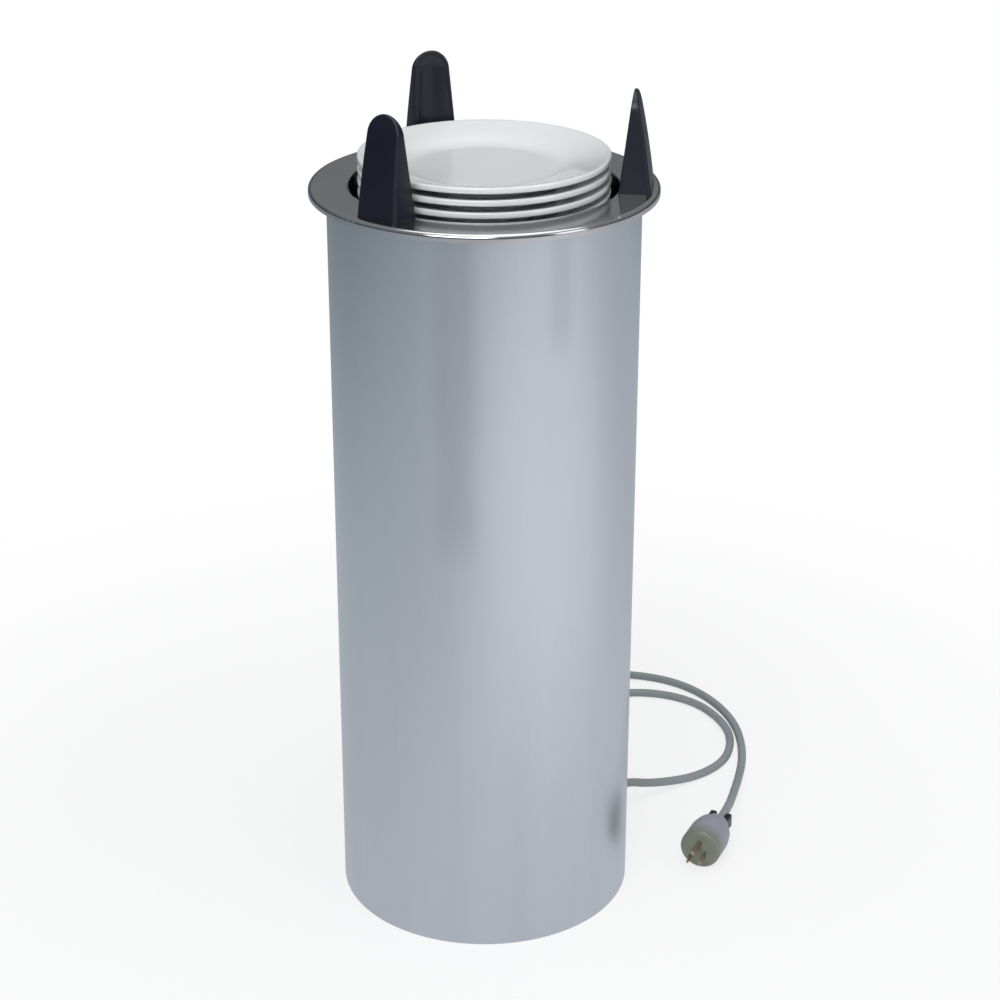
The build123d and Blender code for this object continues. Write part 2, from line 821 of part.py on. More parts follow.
# Carrier platform: a vented disc with a rim turned down, notched where the legs pass
with BuildPart() as carrier_platform:
    with BuildSketch(Plane.XZ):
        with BuildLine():
            Polyline(
                (platform_hole_d / 2, platform_top - platform_sheet),
                (platform_r - platform_sheet, platform_top - platform_sheet),
                (platform_r - platform_sheet, platform_top - platform_rim),
                (platform_r, platform_top - platform_rim),
                (platform_r, platform_top),
                (platform_hole_d / 2, platform_top),
                close=True,
            )
        make_face()
    revolve(axis=Axis.Z)
    with BuildSketch(level(station_angles[0], platform_top - platform_sheet - cut_over)):
        with PolarLocations(platform_vent_radius, platform_vents):
            Circle(platform_vent_d / 2)
        with PolarLocations(edge_vent_radius, edge_vents, start_angle=180 / edge_vents):
            Circle(edge_vent_d / 2)
    extrude(amount=platform_sheet + 2 * cut_over, mode=Mode.SUBTRACT)
    for angle in station_angles:
        with BuildSketch(level(angle, platform_top - platform_sheet)):
            with Locations((platform_r, 0)):
                Rectangle(4 * platform_sheet, leg_width + 2 * leg_notch)
        extrude(amount=-platform_rim, mode=Mode.SUBTRACT)
        with BuildSketch(level(angle, platform_top - platform_sheet - cut_over)):
            with Locations((bolt_at, 0)):
                with GridLocations(bolt_pitch, 0, 2, 1):
                    Circle(screw_d / 2 + screw_slack)
        extrude(amount=platform_sheet + 2 * cut_over, mode=Mode.SUBTRACT)
save(carrier_platform, "carrier_platform")

# Carrier legs: bent straps with a pair of ears at each roller
arm_top = platform_top - platform_sheet
for number, angle in enumerate(station_angles, 1):
    with BuildPart() as leg:
        with BuildSketch(upright(angle)):
            with BuildLine():
                Line((leg_radius - leg_arm, arm_top), (leg_radius - leg_bend, arm_top))
                RadiusArc((leg_radius - leg_bend, arm_top), (leg_radius, arm_top - leg_bend), leg_bend)
                Polyline(
                    (leg_radius, arm_top - leg_bend),
                    (leg_radius, carrier_foot),
                    (leg_in, carrier_foot),
                    (leg_in, arm_top - leg_bend),
                )
                RadiusArc(
                    (leg_in, arm_top - leg_bend),
                    (leg_radius - leg_bend, arm_top - leg_sheet),
                    leg_sheet - leg_bend,
                )
                Polyline(
                    (leg_radius - leg_bend, arm_top - leg_sheet),
                    (leg_radius - leg_arm, arm_top - leg_sheet),
                    (leg_radius - leg_arm, arm_top),
                )
            make_face()
        extrude(amount=leg_width / 2, both=True)
        with BuildSketch(level(angle, arm_top)):
            with Locations((bolt_at, 0)):
                with GridLocations(bolt_pitch, 0, 2, 1):
                    Circle(screw_d / 2 + screw_slack)
        extrude(amount=-leg_sheet, mode=Mode.SUBTRACT)
        for height in (upper_roller, lower_roller):
            for side in (-1, 1):
                with BuildSketch(upright(angle, side * ear_in)):
                    with Locations((roller_at, height)):
                        Circle(ear_d / 2)
                    with Locations(((leg_radius - ear_root + roller_at) / 2, height)):
                        Rectangle(roller_at - leg_radius + ear_root, ear_d)
                    with Locations((roller_at, height)):
                        Circle(pin_d / 2 + pin_play, mode=Mode.SUBTRACT)
                extrude(amount=-side * ear_sheet)
    save(leg, f"carrier_leg_{number}")

# Carrier ring: joins the legs at the foot, with a tab for each pair of springs
tab_end = spring_at + tab_margin
with BuildPart() as carrier_ring:
    with BuildSketch(Plane.XY.offset(carrier_foot)):
        Circle(leg_in)
        Circle(leg_in - ring_width, mode=Mode.SUBTRACT)
    extrude(amount=ring_sheet)
    for angle in spring_angles:
        with BuildSketch(level(angle, carrier_foot)):
            with Locations(((leg_in - ring_width / 2 + tab_end) / 2, 0)):
                Rectangle(tab_end - leg_in + ring_width / 2, hanger_width)
            with Locations((spring_at, 0)):
                with GridLocations(0, spring_pitch, 1, 2):
                    Circle(spring_eye_d / 2, mode=Mode.SUBTRACT)
        extrude(amount=ring_sheet)
save(carrier_ring, "carrier_ring")

# Carrier bolts: low heads on the platform and nuts under the legs
with BuildPart() as carrier_bolts:
    for angle in station_angles:
        for seat, reach, width in (
            (platform_top, low_head, screw_head_d),
            (arm_top - leg_sheet, -nut_height, screw_head_d),
            (platform_top + bolt_end, -platform_sheet - leg_sheet - nut_height - 2 * bolt_end, screw_d),
        ):
            with BuildSketch(level(angle, seat)):
                with Locations((bolt_at, 0)):
                    with GridLocations(bolt_pitch, 0, 2, 1):
                        Circle(width / 2)
            extrude(amount=reach)
save(carrier_bolts, "carrier_bolts")

# Rollers and their pins
rollers = [(angle, height) for angle in station_angles for height in (upper_roller, lower_roller)]
for number, (angle, height) in enumerate(rollers, 1):
    with BuildPart() as roller:
        with BuildSketch(upright(angle)):
            with Locations((roller_at, height)):
                Circle(roller_d / 2)
                Circle(pin_d / 2 + bore_play, mode=Mode.SUBTRACT)
        extrude(amount=roller_width / 2, both=True)
        rims = roller.edges().filter_by(GeomType.CIRCLE).group_by(SortBy.RADIUS)[-1]
        fillet(rims, roller_edge)
    save(roller, f"roller_{number}")

with BuildPart() as roller_pins:
    for angle, height in rollers:
        with BuildSketch(upright(angle)):
            with Locations((roller_at, height)):
                Circle(pin_d / 2)
        extrude(amount=ear_in + ear_sheet + pin_end, both=True)
save(roller_pins, "roller_pins")

# Lower bumpers: rubber posts on the tray, one under each leg
bumper_at = leg_radius - leg_sheet / 2
with BuildPart() as lower_bumpers:
    for angle in station_angles:
        with BuildSketch(level(angle, tray_top)):
            with Locations((bumper_at, 0)):
                Circle(bumper_d / 2)
        extrude(amount=bumper_top - tray_top)
save(lower_bumpers, "lower_bumpers")

# Spring hangers: angle brackets under the flange, on the shell's inside
hanger_in = spring_at - hanger_margin
for number, angle in enumerate(spring_angles, 1):
    with BuildPart() as hanger:
        with BuildSketch(upright(angle)):
            with BuildLine():
                Polyline(
                    (hanger_in, hanger_under),
                    (hanger_back_at, hanger_under),
                    (hanger_back_at, under_flange),
                    (hanger_back_at - hanger_back, under_flange),
                    (hanger_back_at - hanger_back, hanger_under + hanger_sheet),
                    (hanger_in, hanger_under + hanger_sheet),
                    close=True,
                )
            make_face()
        extrude(amount=hanger_width / 2, both=True)
        with BuildSketch(level(angle, hanger_under)):
            with Locations((spring_at, 0)):
                with GridLocations(0, spring_pitch, 1, 2):
                    Circle(spring_eye_d / 2)
        extrude(amount=hanger_sheet, mode=Mode.SUBTRACT)
    save(hanger, f"spring_hanger_{number}")

# Extension springs: plain sleeves with hooks through the hanger above and the carrier's tab below
coil_low = carrier_foot + ring_sheet + spring_hook_gap
coil_high = hanger_under - spring_hook_gap
hook_high = hanger_under + hanger_sheet + spring_wire / 2 + rest_gap / 2
hook_low = carrier_foot - spring_wire / 2 - rest_gap / 2
stations = [(angle, side) for angle in spring_angles for side in (-1, 1)]
for number, (angle, side) in enumerate(stations, 1):
    aside = side * spring_pitch / 2
    with BuildPart() as spring:
        with BuildSketch(upright(angle, aside)):
            with BuildLine():
                Polyline(
                    (spring_at, coil_low),
                    (spring_at + spring_d / 2, coil_low),
                    (spring_at + spring_d / 2, coil_high),
                    (spring_at, coil_high),
                    (spring_at, coil_high - spring_wire),
                    (spring_at + spring_d / 2 - spring_wire, coil_high - spring_wire),
                    (spring_at + spring_d / 2 - spring_wire, coil_low + spring_wire),
                    (spring_at, coil_low + spring_wire),
                    close=True,
                )
            make_face()
        revolve(axis=Axis(polar(spring_at, angle, 0, aside), (0, 0, 1)))
        for start, end in ((coil_high - spring_wire, hook_high), (coil_low + spring_wire, hook_low)):
            with BuildLine() as hook:
                FilletPolyline(
                    polar(spring_at, angle, start, aside),
                    polar(spring_at, angle, end, aside),
                    polar(spring_at - hook_reach, angle, end, aside),
                    radius=hook_bend,
                )
            with BuildSketch(Plane(origin=polar(spring_at, angle, start, aside), z_dir=(0, 0, end - start))):
                Circle(spring_wire / 2)
            sweep(path=hook.wires()[0])
    save(spring, f"spring_{number}")

# Plates: a thick-walled plate with a foot, a steep shoulder, a wide rim and a round edge
well_top = plate_pitch - rest_gap
floor_under = well_top - plate_wall
slope_top = well_top + plate_slope_rise
edge_r = plate_wall / 2
slope_at = plate_slope_d / 2
floor_at = plate_well_d / 2
foot_out = plate_foot_d / 2
foot_in = foot_out - plate_foot_width
for number in range(1, plate_count + 1):
    base = platform_top + rest_gap + (number - 1) * plate_pitch
    with BuildPart() as plate:
        with BuildSketch(Plane.XZ) as profile:
            with BuildLine():
                Polyline(
                    (0, base + well_top),
                    (floor_at, base + well_top),
                    (slope_at, base + slope_top),
                    (plate_r - edge_r, base + plate_height),
                )
                ThreePointArc(
                    (plate_r - edge_r, base + plate_height),
                    (plate_r, base + plate_height - edge_r),
                    (plate_r - edge_r, base + plate_height - plate_wall),
                )
                Polyline(
                    (plate_r - edge_r, base + plate_height - plate_wall),
                    (slope_at, base + slope_top - plate_wall),
                    (floor_at, base + floor_under),
                    (foot_out, base + floor_under),
                    (foot_out - plate_foot_taper, base),
                    (foot_in, base),
                    (foot_in - plate_foot_taper, base + floor_under),
                    (0, base + floor_under),
                    (0, base + well_top),
                )
            make_face()
            bends = [
                v
                for v in profile.vertices()
                if abs(v.X - floor_at) < 0.01 or abs(v.X - slope_at) < 0.01
            ]
            fillet(bends, plate_bend)
        revolve(axis=Axis.Z)
    save(plate, f"plate_{number}")

# Strain relief: a nut inside the shell, a flange outside and a ribbed, tapered sleeve
with BuildPart() as strain_relief:
    with BuildSketch(upright(exit_angle)):
        with BuildLine():
            Polyline(
                (shell_in - fit_gap - relief_nut, exit_height),
                (shell_in - fit_gap - relief_nut, exit_height + relief_nut_d / 2),
                (shell_in - nut_seat, exit_height + relief_nut_d / 2),
                (shell_in - nut_seat, exit_height + relief_neck_d / 2),
                (body_r + fit_gap, exit_height + relief_neck_d / 2),
                (body_r + fit_gap, exit_height + relief_flange_d / 2),
                (body_r + relief_flange, exit_height + relief_flange_d / 2),
                (body_r + relief_flange, exit_height + relief_root_d / 2),
                (relief_end, exit_height + relief_end_d / 2),
                (relief_end, exit_height),
                close=True,
            )
        make_face()
    revolve(axis=Axis(polar(0, exit_angle, exit_height), polar(1, exit_angle, 0)))
    for step in groove_steps:
        at = relief_flange + (relief_length - relief_flange) * step
        with BuildSketch(facing(exit_angle, body_r + at, exit_height)):
            Circle(relief_root_d / 2)
            Circle(cord_d / 2 + groove_wall, mode=Mode.SUBTRACT)
        extrude(amount=groove_width, mode=Mode.SUBTRACT)
save(strain_relief, "strain_relief")

# Cord tail: the jacketed end inside the base
with BuildPart() as cord_tail:
    with BuildSketch(facing(exit_angle, shell_in - fit_gap - relief_nut, exit_height)):
        Circle(cord_d / 2)
    extrude(amount=-(shell_in - fit_gap - relief_nut - tail_end))
save(cord_tail, "cord_tail")

# Mains cord: one tube of straight runs and tangent arcs
plug_z = plug_d / 2 + plug_lift
plug_way = Vector(cos(radians(plug_heading)), sin(radians(plug_heading)), 0)
plug_start = Vector(*plug_back, plug_z)
cord_points = [
    polar(relief_end, exit_angle, exit_height),
    polar(relief_end + cord_run_out, exit_angle, exit_height),
    *cord_route,
    tuple(plug_start - plug_way * cord_run_in),
    tuple(plug_start),
]
cord_radii = corner_radii(cord_points)
with BuildPart() as mains_cord:
    with BuildLine() as cord_line:
        FilletPolyline(*cord_points, radius=cord_radii)
    with BuildSketch(facing(exit_angle, relief_end, exit_height)):
        Circle(cord_d / 2)
    sweep(path=cord_line.wires()[0])
save(mains_cord, "mains_cord")
cord_length = cord_line.wires()[0].length
print("cord radii", [round(r, 1) for r in cord_radii])
print("cord length", round(cord_length, 1), "tube volume over section times length",
      round(mains_cord.part.volume / (pi * cord_d**2 / 4 * cord_length), 5))

# Plug: a round body that widens to its face, lying on the floor
plug_axis = Axis(plug_start, plug_way)
plug_section = Plane(origin=plug_start, x_dir=plug_way, z_dir=plug_way.cross(Vector(0, 0, 1)))
with BuildPart() as plug_housing:
    with BuildSketch(plug_section):
        with BuildLine():
            Polyline((0, 0), (0, plug_neck_d / 2), (plug_collar, plug_neck_d / 2))
            Line((plug_collar, plug_neck_d / 2), (plug_shoulder, plug_d / 2 - plug_step))
            RadiusArc(
                (plug_shoulder, plug_d / 2 - plug_step),
                (plug_shoulder + plug_swell, plug_d / 2),
                (plug_swell**2 + plug_step**2) / (2 * plug_step),
            )
            Line((plug_shoulder + plug_swell, plug_d / 2), (plug_body - plug_face_edge, plug_d / 2))
            RadiusArc(
                (plug_body - plug_face_edge, plug_d / 2),
                (plug_body, plug_d / 2 - plug_face_edge),
                plug_face_edge,
            )
            Polyline((plug_body, plug_d / 2 - plug_face_edge), (plug_body, 0), (0, 0))
        make_face()
    revolve(axis=plug_axis)
save(plug_housing, "plug_housing")

# Cord clamp: two jaws beside the cord at the back of the plug, and their screws
jaw_in = cord_d / 2 + jaw_gap
plug_rear = Plane(origin=plug_start, x_dir=plug_section.z_dir, z_dir=-plug_way)
with BuildPart() as plug_clamp:
    with BuildSketch(plug_rear):
        for side in (-1, 1):
            with Locations((side * (jaw_in + jaw_width / 2), 0)):
                RectangleRounded(jaw_width, jaw_height, jaw_edge)
    extrude(amount=jaw_length)
save(plug_clamp, "plug_clamp")

with BuildPart() as clamp_screws:
    for side in (-1, 1):
        spot = plug_start - plug_way * (jaw_length / 2) + plug_section.z_dir * side * (jaw_in + jaw_width / 2)
        with BuildSketch(Plane(origin=spot + Vector(0, 0, jaw_height / 2), z_dir=(0, 0, 1))):
            Circle(jaw_screw_d / 2)
        extrude(amount=jaw_screw_head)
save(clamp_screws, "clamp_screws")

# Blades and earth pin on the plug's face
plug_face = Plane(origin=plug_start + plug_way * plug_body, x_dir=plug_section.z_dir, z_dir=plug_way)
with BuildPart() as plug_blades:
    with BuildSketch(plug_face):
        with Locations((0, blade_raise)):
            with GridLocations(blade_spacing, 0, 2, 1):
                Rectangle(blade_thick, blade_width)
    extrude(amount=blade_length)
save(plug_blades, "plug_blades")

with BuildPart() as earth_pin:
    with BuildSketch(plug_face):
        with Locations((0, blade_raise - earth_pin_offset)):
            Circle(earth_pin_d / 2)
    extrude(amount=earth_pin_length)
save(earth_pin, "earth_pin")

print("joint heights, mm:", {
    "platform_top": round(platform_top, 3),
    "upper_roller": round(upper_roller, 3),
    "lower_roller": round(lower_roller, 3),
    "travel_down": round(travel_down, 3),
    "roller_at": round(roller_at, 4),
    "spring_at": round(spring_at, 4),
    "hanger_under": round(hanger_under, 3),
    "carrier_foot": round(carrier_foot, 3),
})
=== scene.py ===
"""Looks of a round drop-in plate dispenser with a heated base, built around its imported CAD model.

The metal nodes keep their CAD shapes and get procedural finishes. The guides, plates, springs, cord and plug
are rebuilt with finer forms. Everything is in metres in the row frame: Z up, the counter's front towards -Y.
"""

import logging
from dataclasses import dataclass, field
from enum import Enum
from math import cos, pi, radians, sin

import bmesh
import bpy
import numpy as np
from mathutils import Matrix, Vector

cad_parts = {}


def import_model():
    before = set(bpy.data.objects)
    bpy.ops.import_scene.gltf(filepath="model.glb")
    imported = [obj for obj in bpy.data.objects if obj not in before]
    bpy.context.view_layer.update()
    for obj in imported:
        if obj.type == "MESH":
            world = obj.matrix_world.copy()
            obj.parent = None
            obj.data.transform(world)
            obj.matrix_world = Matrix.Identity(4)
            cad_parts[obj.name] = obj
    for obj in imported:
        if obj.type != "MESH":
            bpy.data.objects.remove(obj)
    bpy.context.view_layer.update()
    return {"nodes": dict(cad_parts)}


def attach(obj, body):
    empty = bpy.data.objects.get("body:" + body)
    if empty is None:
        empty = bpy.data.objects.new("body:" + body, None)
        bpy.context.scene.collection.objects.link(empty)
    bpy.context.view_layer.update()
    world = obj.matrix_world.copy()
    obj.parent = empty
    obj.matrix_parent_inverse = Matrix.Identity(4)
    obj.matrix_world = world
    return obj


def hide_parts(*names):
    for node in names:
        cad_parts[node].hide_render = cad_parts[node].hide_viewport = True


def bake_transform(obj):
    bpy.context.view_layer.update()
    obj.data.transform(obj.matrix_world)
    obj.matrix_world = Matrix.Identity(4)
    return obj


log = logging.getLogger("dispenser")

MM = 0.001
TOP = 722 * MM  # the flange's upper face
BODY_R = 143 * MM
STATIONS = (-8.8, 111.2, 231.2)  # the guides' angles from +X in degrees
LYING = 4.6 * MM  # height of the cord's axis where it lies on the floor
MERGE = 2e-6
WHITE = (1.0, 1.0, 1.0, 1.0)
MIX_A, MIX_B, MIX_RESULT = 6, 7, 2  # the colour sockets of a Mix node


# Geometry helpers


def turned(x: np.ndarray, y: np.ndarray, z: np.ndarray, angle: float) -> np.ndarray:
    """Turn points in millimetres about the body's axis: (x cos a - y sin a, x sin a + y cos a, z), in metres.

    Args:
        x: Distances from the axis.
        y: Distances along the tangent, counter-clockwise.
        z: Heights.
        angle: The turn a, from +X in degrees.
    """
    a = radians(angle)
    return np.stack([x * cos(a) - y * sin(a), x * sin(a) + y * cos(a), z], -1) * MM


def grid_object(name: str, points: np.ndarray, wrap: bool = True, sharp: float = 40.0) -> bpy.types.Object:
    """Build a quad surface from a grid of points.

    Vertex (i, j) has index i * columns + j, and the quad (i, j) joins it to (i + 1, j) and (i, j + 1).

    Args:
        name: Name of the new object.
        points: Array of shape (rows, columns, 3), in the row frame.
        wrap: Joins the last column to the first.
        sharp: Edges that turn by more than this many degrees stay sharp.

    Returns:
        The linked object, with coincident points merged.
    """
    rows, columns = points.shape[:2]
    i, j = np.meshgrid(np.arange(rows - 1), np.arange(columns if wrap else columns - 1), indexing="ij")
    k = (j + 1) % columns
    quads = np.stack([i * columns + j, i * columns + k, (i + 1) * columns + k, (i + 1) * columns + j], -1)
    mesh = bpy.data.meshes.new(name)
    mesh.from_pydata(points.reshape(-1, 3).tolist(), [], quads.reshape(-1, 4).tolist())
    return finish_object(name, mesh, sharp)


def finish_object(name: str, mesh: bpy.types.Mesh, sharp: float) -> bpy.types.Object:
    """Merge coincident points, turn the faces outwards, shade smooth with sharp creases, and link."""
    work = bmesh.new()
    work.from_mesh(mesh)
    bmesh.ops.remove_doubles(work, verts=work.verts, dist=MERGE)
    bmesh.ops.recalc_face_normals(work, faces=work.faces)
    work.to_mesh(mesh)
    work.free()
    mesh.shade_smooth()
    mesh.set_sharp_from_angle(angle=radians(sharp))
    obj = bpy.data.objects.new(name, mesh)
    bpy.context.scene.collection.objects.link(obj)
    return obj


def lathe(name: str, profile: list, origin: Vector, axis: Vector, segments: int = 128,
          sharp: float = 40.0) -> bpy.types.Object:
    """Turn a profile of (distance along the axis, radius) about an axis.

    A point is origin + x * axis + r * (cos t * u + sin t * v), with u and v square to the axis.

    Args:
        name: Name of the new object.
        profile: The (x, r) pairs, in order.
        origin: Where x is 0.
        axis: Direction of the axis.
        segments: Steps around the axis.
        sharp: Crease angle in degrees.
    """
    w = np.array(axis.normalized())
    u = np.array(axis.orthogonal().normalized())
    v = np.cross(w, u)
    x, r = np.array(profile, float).T
    t = np.linspace(0, 2 * pi, segments, endpoint=False)
    ring = np.cos(t)[:, None] * u + np.sin(t)[:, None] * v
    points = np.array(origin) + x[:, None, None] * w + r[:, None, None] * ring[None]
    return grid_object(name, points, sharp=sharp)


def rounded(points: list, radii: list, steps: int = 6) -> list:
    """Round the corners of an open 2-D polyline with quadratic curves.

    Each corner P between A and B is replaced by (1-t)^2 (P+a) + 2t(1-t) P + t^2 (P+b), where a and b reach
    a radius towards A and B.

    Args:
        points: The corners, ends included.
        radii: How far each rounding reaches, one for each inner corner.
        steps: Points on each rounding.
    """
    p = np.array(points, float)
    out = [p[0][None]]
    t = np.linspace(0, 1, steps)[:, None]
    for before, here, after, reach in zip(p, p[1:], p[2:], radii):
        a = here + (before - here) * min(0.49, reach / np.linalg.norm(before - here))
        b = here + (after - here) * min(0.49, reach / np.linalg.norm(after - here))
        out.append((1 - t) ** 2 * a + 2 * t * (1 - t) * here + t**2 * b)
    out.append(p[-1][None])
    return np.concatenate(out).tolist()


def tube(name: str, path: np.ndarray, radius: float, sides: int = 8) -> bpy.types.Object:
    """Sweep a round section along a path, with closed ends.

    The section's axes follow a fixed reference made square to the tangent, so it doesn't twist on a helix.

    Args:
        name: Name of the new object.
        path: Array of shape (n, 3).
        radius: Section radius.
        sides: Points round the section.
    """
    tangent = np.gradient(path, axis=0)
    tangent /= np.linalg.norm(tangent, axis=1)[:, None]
    reference = np.where(np.abs(tangent[:, 2:3]) > 0.9, np.array([1.0, 0, 0]), np.array([0, 0, 1.0]))
    u = np.cross(tangent, reference)
    u /= np.linalg.norm(u, axis=1)[:, None]
    v = np.cross(tangent, u)
    t = np.linspace(0, 2 * pi, sides, endpoint=False)
    ring = np.cos(t)[None, :, None] * u[:, None] + np.sin(t)[None, :, None] * v[:, None]
    points = path[:, None] + radius * ring
    ends = [np.repeat(path[k][None, None], sides, 1) for k in (0, -1)]
    return grid_object(name, np.concatenate([ends[0], points, ends[1]]), sharp=50)


# Node groups and finishes


class Grain(Enum):
    """How the lines of a brushed metal run."""

    AXIAL = (90.0, 90.0, 0.9)
    NONE = (60.0, 60.0, 60.0)


class NodeKit:
    """A small writer of node trees, for materials and groups alike."""

    def __init__(self, tree: bpy.types.NodeTree) -> None:
        self.tree = tree

    def add(self, kind: str, inputs: dict | None = None, **settings) -> bpy.types.Node:
        """Add a node, set its properties, and set or link its inputs.

        Args:
            kind: The node's type.
            inputs: Input name or index to a value, or to the socket that feeds it.
            settings: Properties of the node.
        """
        node = self.tree.nodes.new(kind)
        for key, value in settings.items():
            setattr(node, key, value)
        for key, value in (inputs or {}).items():
            if isinstance(value, bpy.types.NodeSocket):
                self.tree.links.new(value, node.inputs[key])
            else:
                node.inputs[key].default_value = value
        return node

    def ramp(self, fac: bpy.types.NodeSocket, stops: list) -> bpy.types.NodeSocket:
        """Add a colour ramp with (position, colour) stops and return its colour."""
        node = self.add("ShaderNodeValToRGB", {"Fac": fac})
        elements = node.color_ramp.elements
        for element, (at, colour) in zip(elements, (stops[0], stops[-1])):
            element.position, element.color = at, (*colour, 1)
        for at, colour in stops[1:-1]:
            elements.new(at).color = (*colour, 1)
        return node.outputs["Color"]


def new_group(name: str, inputs: list, outputs: list) -> tuple[NodeKit, dict, bpy.types.Node]:
    """Start a shader node group.

    Args:
        name: The group's name.
        inputs: (name, socket type, default) for each input.
        outputs: (name, socket type) for each output.
    """
    tree = bpy.data.node_groups.new(name, "ShaderNodeTree")
    for label, kind, default in inputs:
        socket = tree.interface.new_socket(label, in_out="INPUT", socket_type=kind)
        if default is not None:
            socket.default_value = default
    for label, kind in outputs:
        tree.interface.new_socket(label, in_out="OUTPUT", socket_type=kind)
    kit = NodeKit(tree)
    source = kit.add("NodeGroupInput")
    return kit, {s.name: s for s in source.outputs if s.name}, kit.add("NodeGroupOutput")


class Effects:
    """The shader groups that several finishes share."""

    mark_depth = 0.0002
    line_depth = 0.0001
    fine_ratio = 22.0  # how much finer the bump's noise is than the marks'

    def __init__(self) -> None:
        self.wear = self._wear()
        self.brushed = self._brushed()

    @staticmethod
    def _wear() -> bpy.types.NodeTree:
        """Soft handling marks: roughness = base + spread * (noise - 0.5), and a bump from a finer noise."""
        kit, inp, out = new_group(
            "handling_marks",
            [("Roughness", "NodeSocketFloat", 0.4), ("Spread", "NodeSocketFloat", 0.1),
             ("Scale", "NodeSocketFloat", 30.0), ("Bump", "NodeSocketFloat", 0.1)],
            [("Roughness", "NodeSocketFloat"), ("Normal", "NodeSocketVector"), ("Mottle", "NodeSocketFloat")])
        place = kit.add("ShaderNodeTexCoord").outputs["Object"]
        broad = kit.add("ShaderNodeTexNoise", {"Vector": place, "Scale": inp["Scale"], "Detail": 4.0,
                                               "Roughness": 0.6})
        off = kit.add("ShaderNodeMath", {0: broad.outputs["Fac"], 1: 0.5}, operation="SUBTRACT")
        mixed = kit.add("ShaderNodeMath", {0: off.outputs[0], 1: inp["Spread"], 2: inp["Roughness"]},
                        operation="MULTIPLY_ADD", use_clamp=True)
        fine_scale = kit.add("ShaderNodeMath", {0: inp["Scale"], 1: Effects.fine_ratio},
                             operation="MULTIPLY")
        fine = kit.add("ShaderNodeTexNoise", {"Vector": place, "Scale": fine_scale.outputs[0], "Detail": 2.0})
        bump = kit.add("ShaderNodeBump", {"Strength": inp["Bump"], "Distance": Effects.mark_depth,
                                          "Height": fine.outputs["Fac"]})
        for label, socket in (("Roughness", mixed.outputs[0]), ("Normal", bump.outputs["Normal"]),
                              ("Mottle", broad.outputs["Fac"])):
            kit.tree.links.new(socket, out.inputs[label])
        return kit.tree

    @staticmethod
    def _brushed() -> bpy.types.NodeTree:
        """Brush lines: noise on stretched Object coordinates, as a tone near 1 and a matching bump."""
        kit, inp, out = new_group(
            "brush_lines",
            [("Stretch", "NodeSocketVector", (90.0, 90.0, 0.9)), ("Depth", "NodeSocketFloat", 0.1),
             ("Bump", "NodeSocketFloat", 0.1)],
            [("Tone", "NodeSocketFloat"), ("Normal", "NodeSocketVector")])
        place = kit.add("ShaderNodeTexCoord").outputs["Object"]
        stretched = kit.add("ShaderNodeVectorMath", {0: place, 1: inp["Stretch"]}, operation="MULTIPLY")
        line = kit.add("ShaderNodeTexNoise", {"Vector": stretched.outputs[0], "Scale": 9.0, "Detail": 5.0,
                                              "Roughness": 0.7})
        tone = kit.add("ShaderNodeMath", {0: line.outputs["Fac"], 1: 0.5}, operation="SUBTRACT")
        scaled = kit.add("ShaderNodeMath", {0: tone.outputs[0], 1: inp["Depth"], 2: 1.0},
                         operation="MULTIPLY_ADD")
        bump = kit.add("ShaderNodeBump", {"Strength": inp["Bump"], "Distance": Effects.line_depth,
                                          "Height": line.outputs["Fac"]})
        for label, socket in (("Tone", scaled.outputs[0]), ("Normal", bump.outputs["Normal"])):
            kit.tree.links.new(socket, out.inputs[label])
        return kit.tree


@dataclass(frozen=True)
class Finish:
    """What every finish has: a name, a colour and a roughness with its spread.

    Attributes:
        name: The material's name.
        colour: Linear base colour.
        roughness: Mean roughness.
        spread: How far the roughness strays.
        scale: Scale of the handling marks.
        bump: Strength of the fine bump.
        metallic: 1 for a metal.
        mottle: How far the marks move the colour.
    """

    name: str
    colour: tuple[float, float, float]
    roughness: float = 0.4
    spread: float = 0.12
    scale: float = 30.0
    bump: float = 0.1
    metallic: float = 0.0
    mottle: float = 0.09

    def tone(self, kit: NodeKit, wear: bpy.types.Node) -> bpy.types.NodeSocket:
        """Return the base colour's socket: the colour, mottled a little."""
        low, high = (tuple(c * k for c in self.colour) for k in (1 - self.mottle, 1 + self.mottle))
        return kit.ramp(wear.outputs["Mottle"], [(0.3, low), (0.7, high)])

    def extras(self, shader: bpy.types.Node) -> None:
        """Set the shader's constant sockets."""
        shader.inputs["Specular IOR Level"].default_value = 0.5

    def build(self, effects: Effects) -> bpy.types.Material:
        """Make the material.

        Args:
            effects: The shared shader groups.
        """
        material = bpy.data.materials.new(self.name)
        material.use_nodes = True
        material.diffuse_color = (*self.colour, 1)
        kit = NodeKit(material.node_tree)
        shader = material.node_tree.nodes["Principled BSDF"]
        wear = kit.add("ShaderNodeGroup", {}, node_tree=effects.wear)
        for label, value in (("Roughness", self.roughness), ("Spread", self.spread), ("Scale", self.scale),
                             ("Bump", self.bump)):
            wear.inputs[label].default_value = value
        links = kit.tree.links
        links.new(wear.outputs["Roughness"], shader.inputs["Roughness"])
        links.new(self.tone(kit, wear), shader.inputs["Base Color"])
        links.new(wear.outputs["Normal"], shader.inputs["Normal"])
        shader.inputs["Metallic"].default_value = self.metallic
        self.extras(shader)
        self.detail(kit, effects, shader)
        return material

    def detail(self, kit: NodeKit, effects: Effects, shader: bpy.types.Node) -> None:
        """Add what only this finish has. The plain finish has nothing more."""


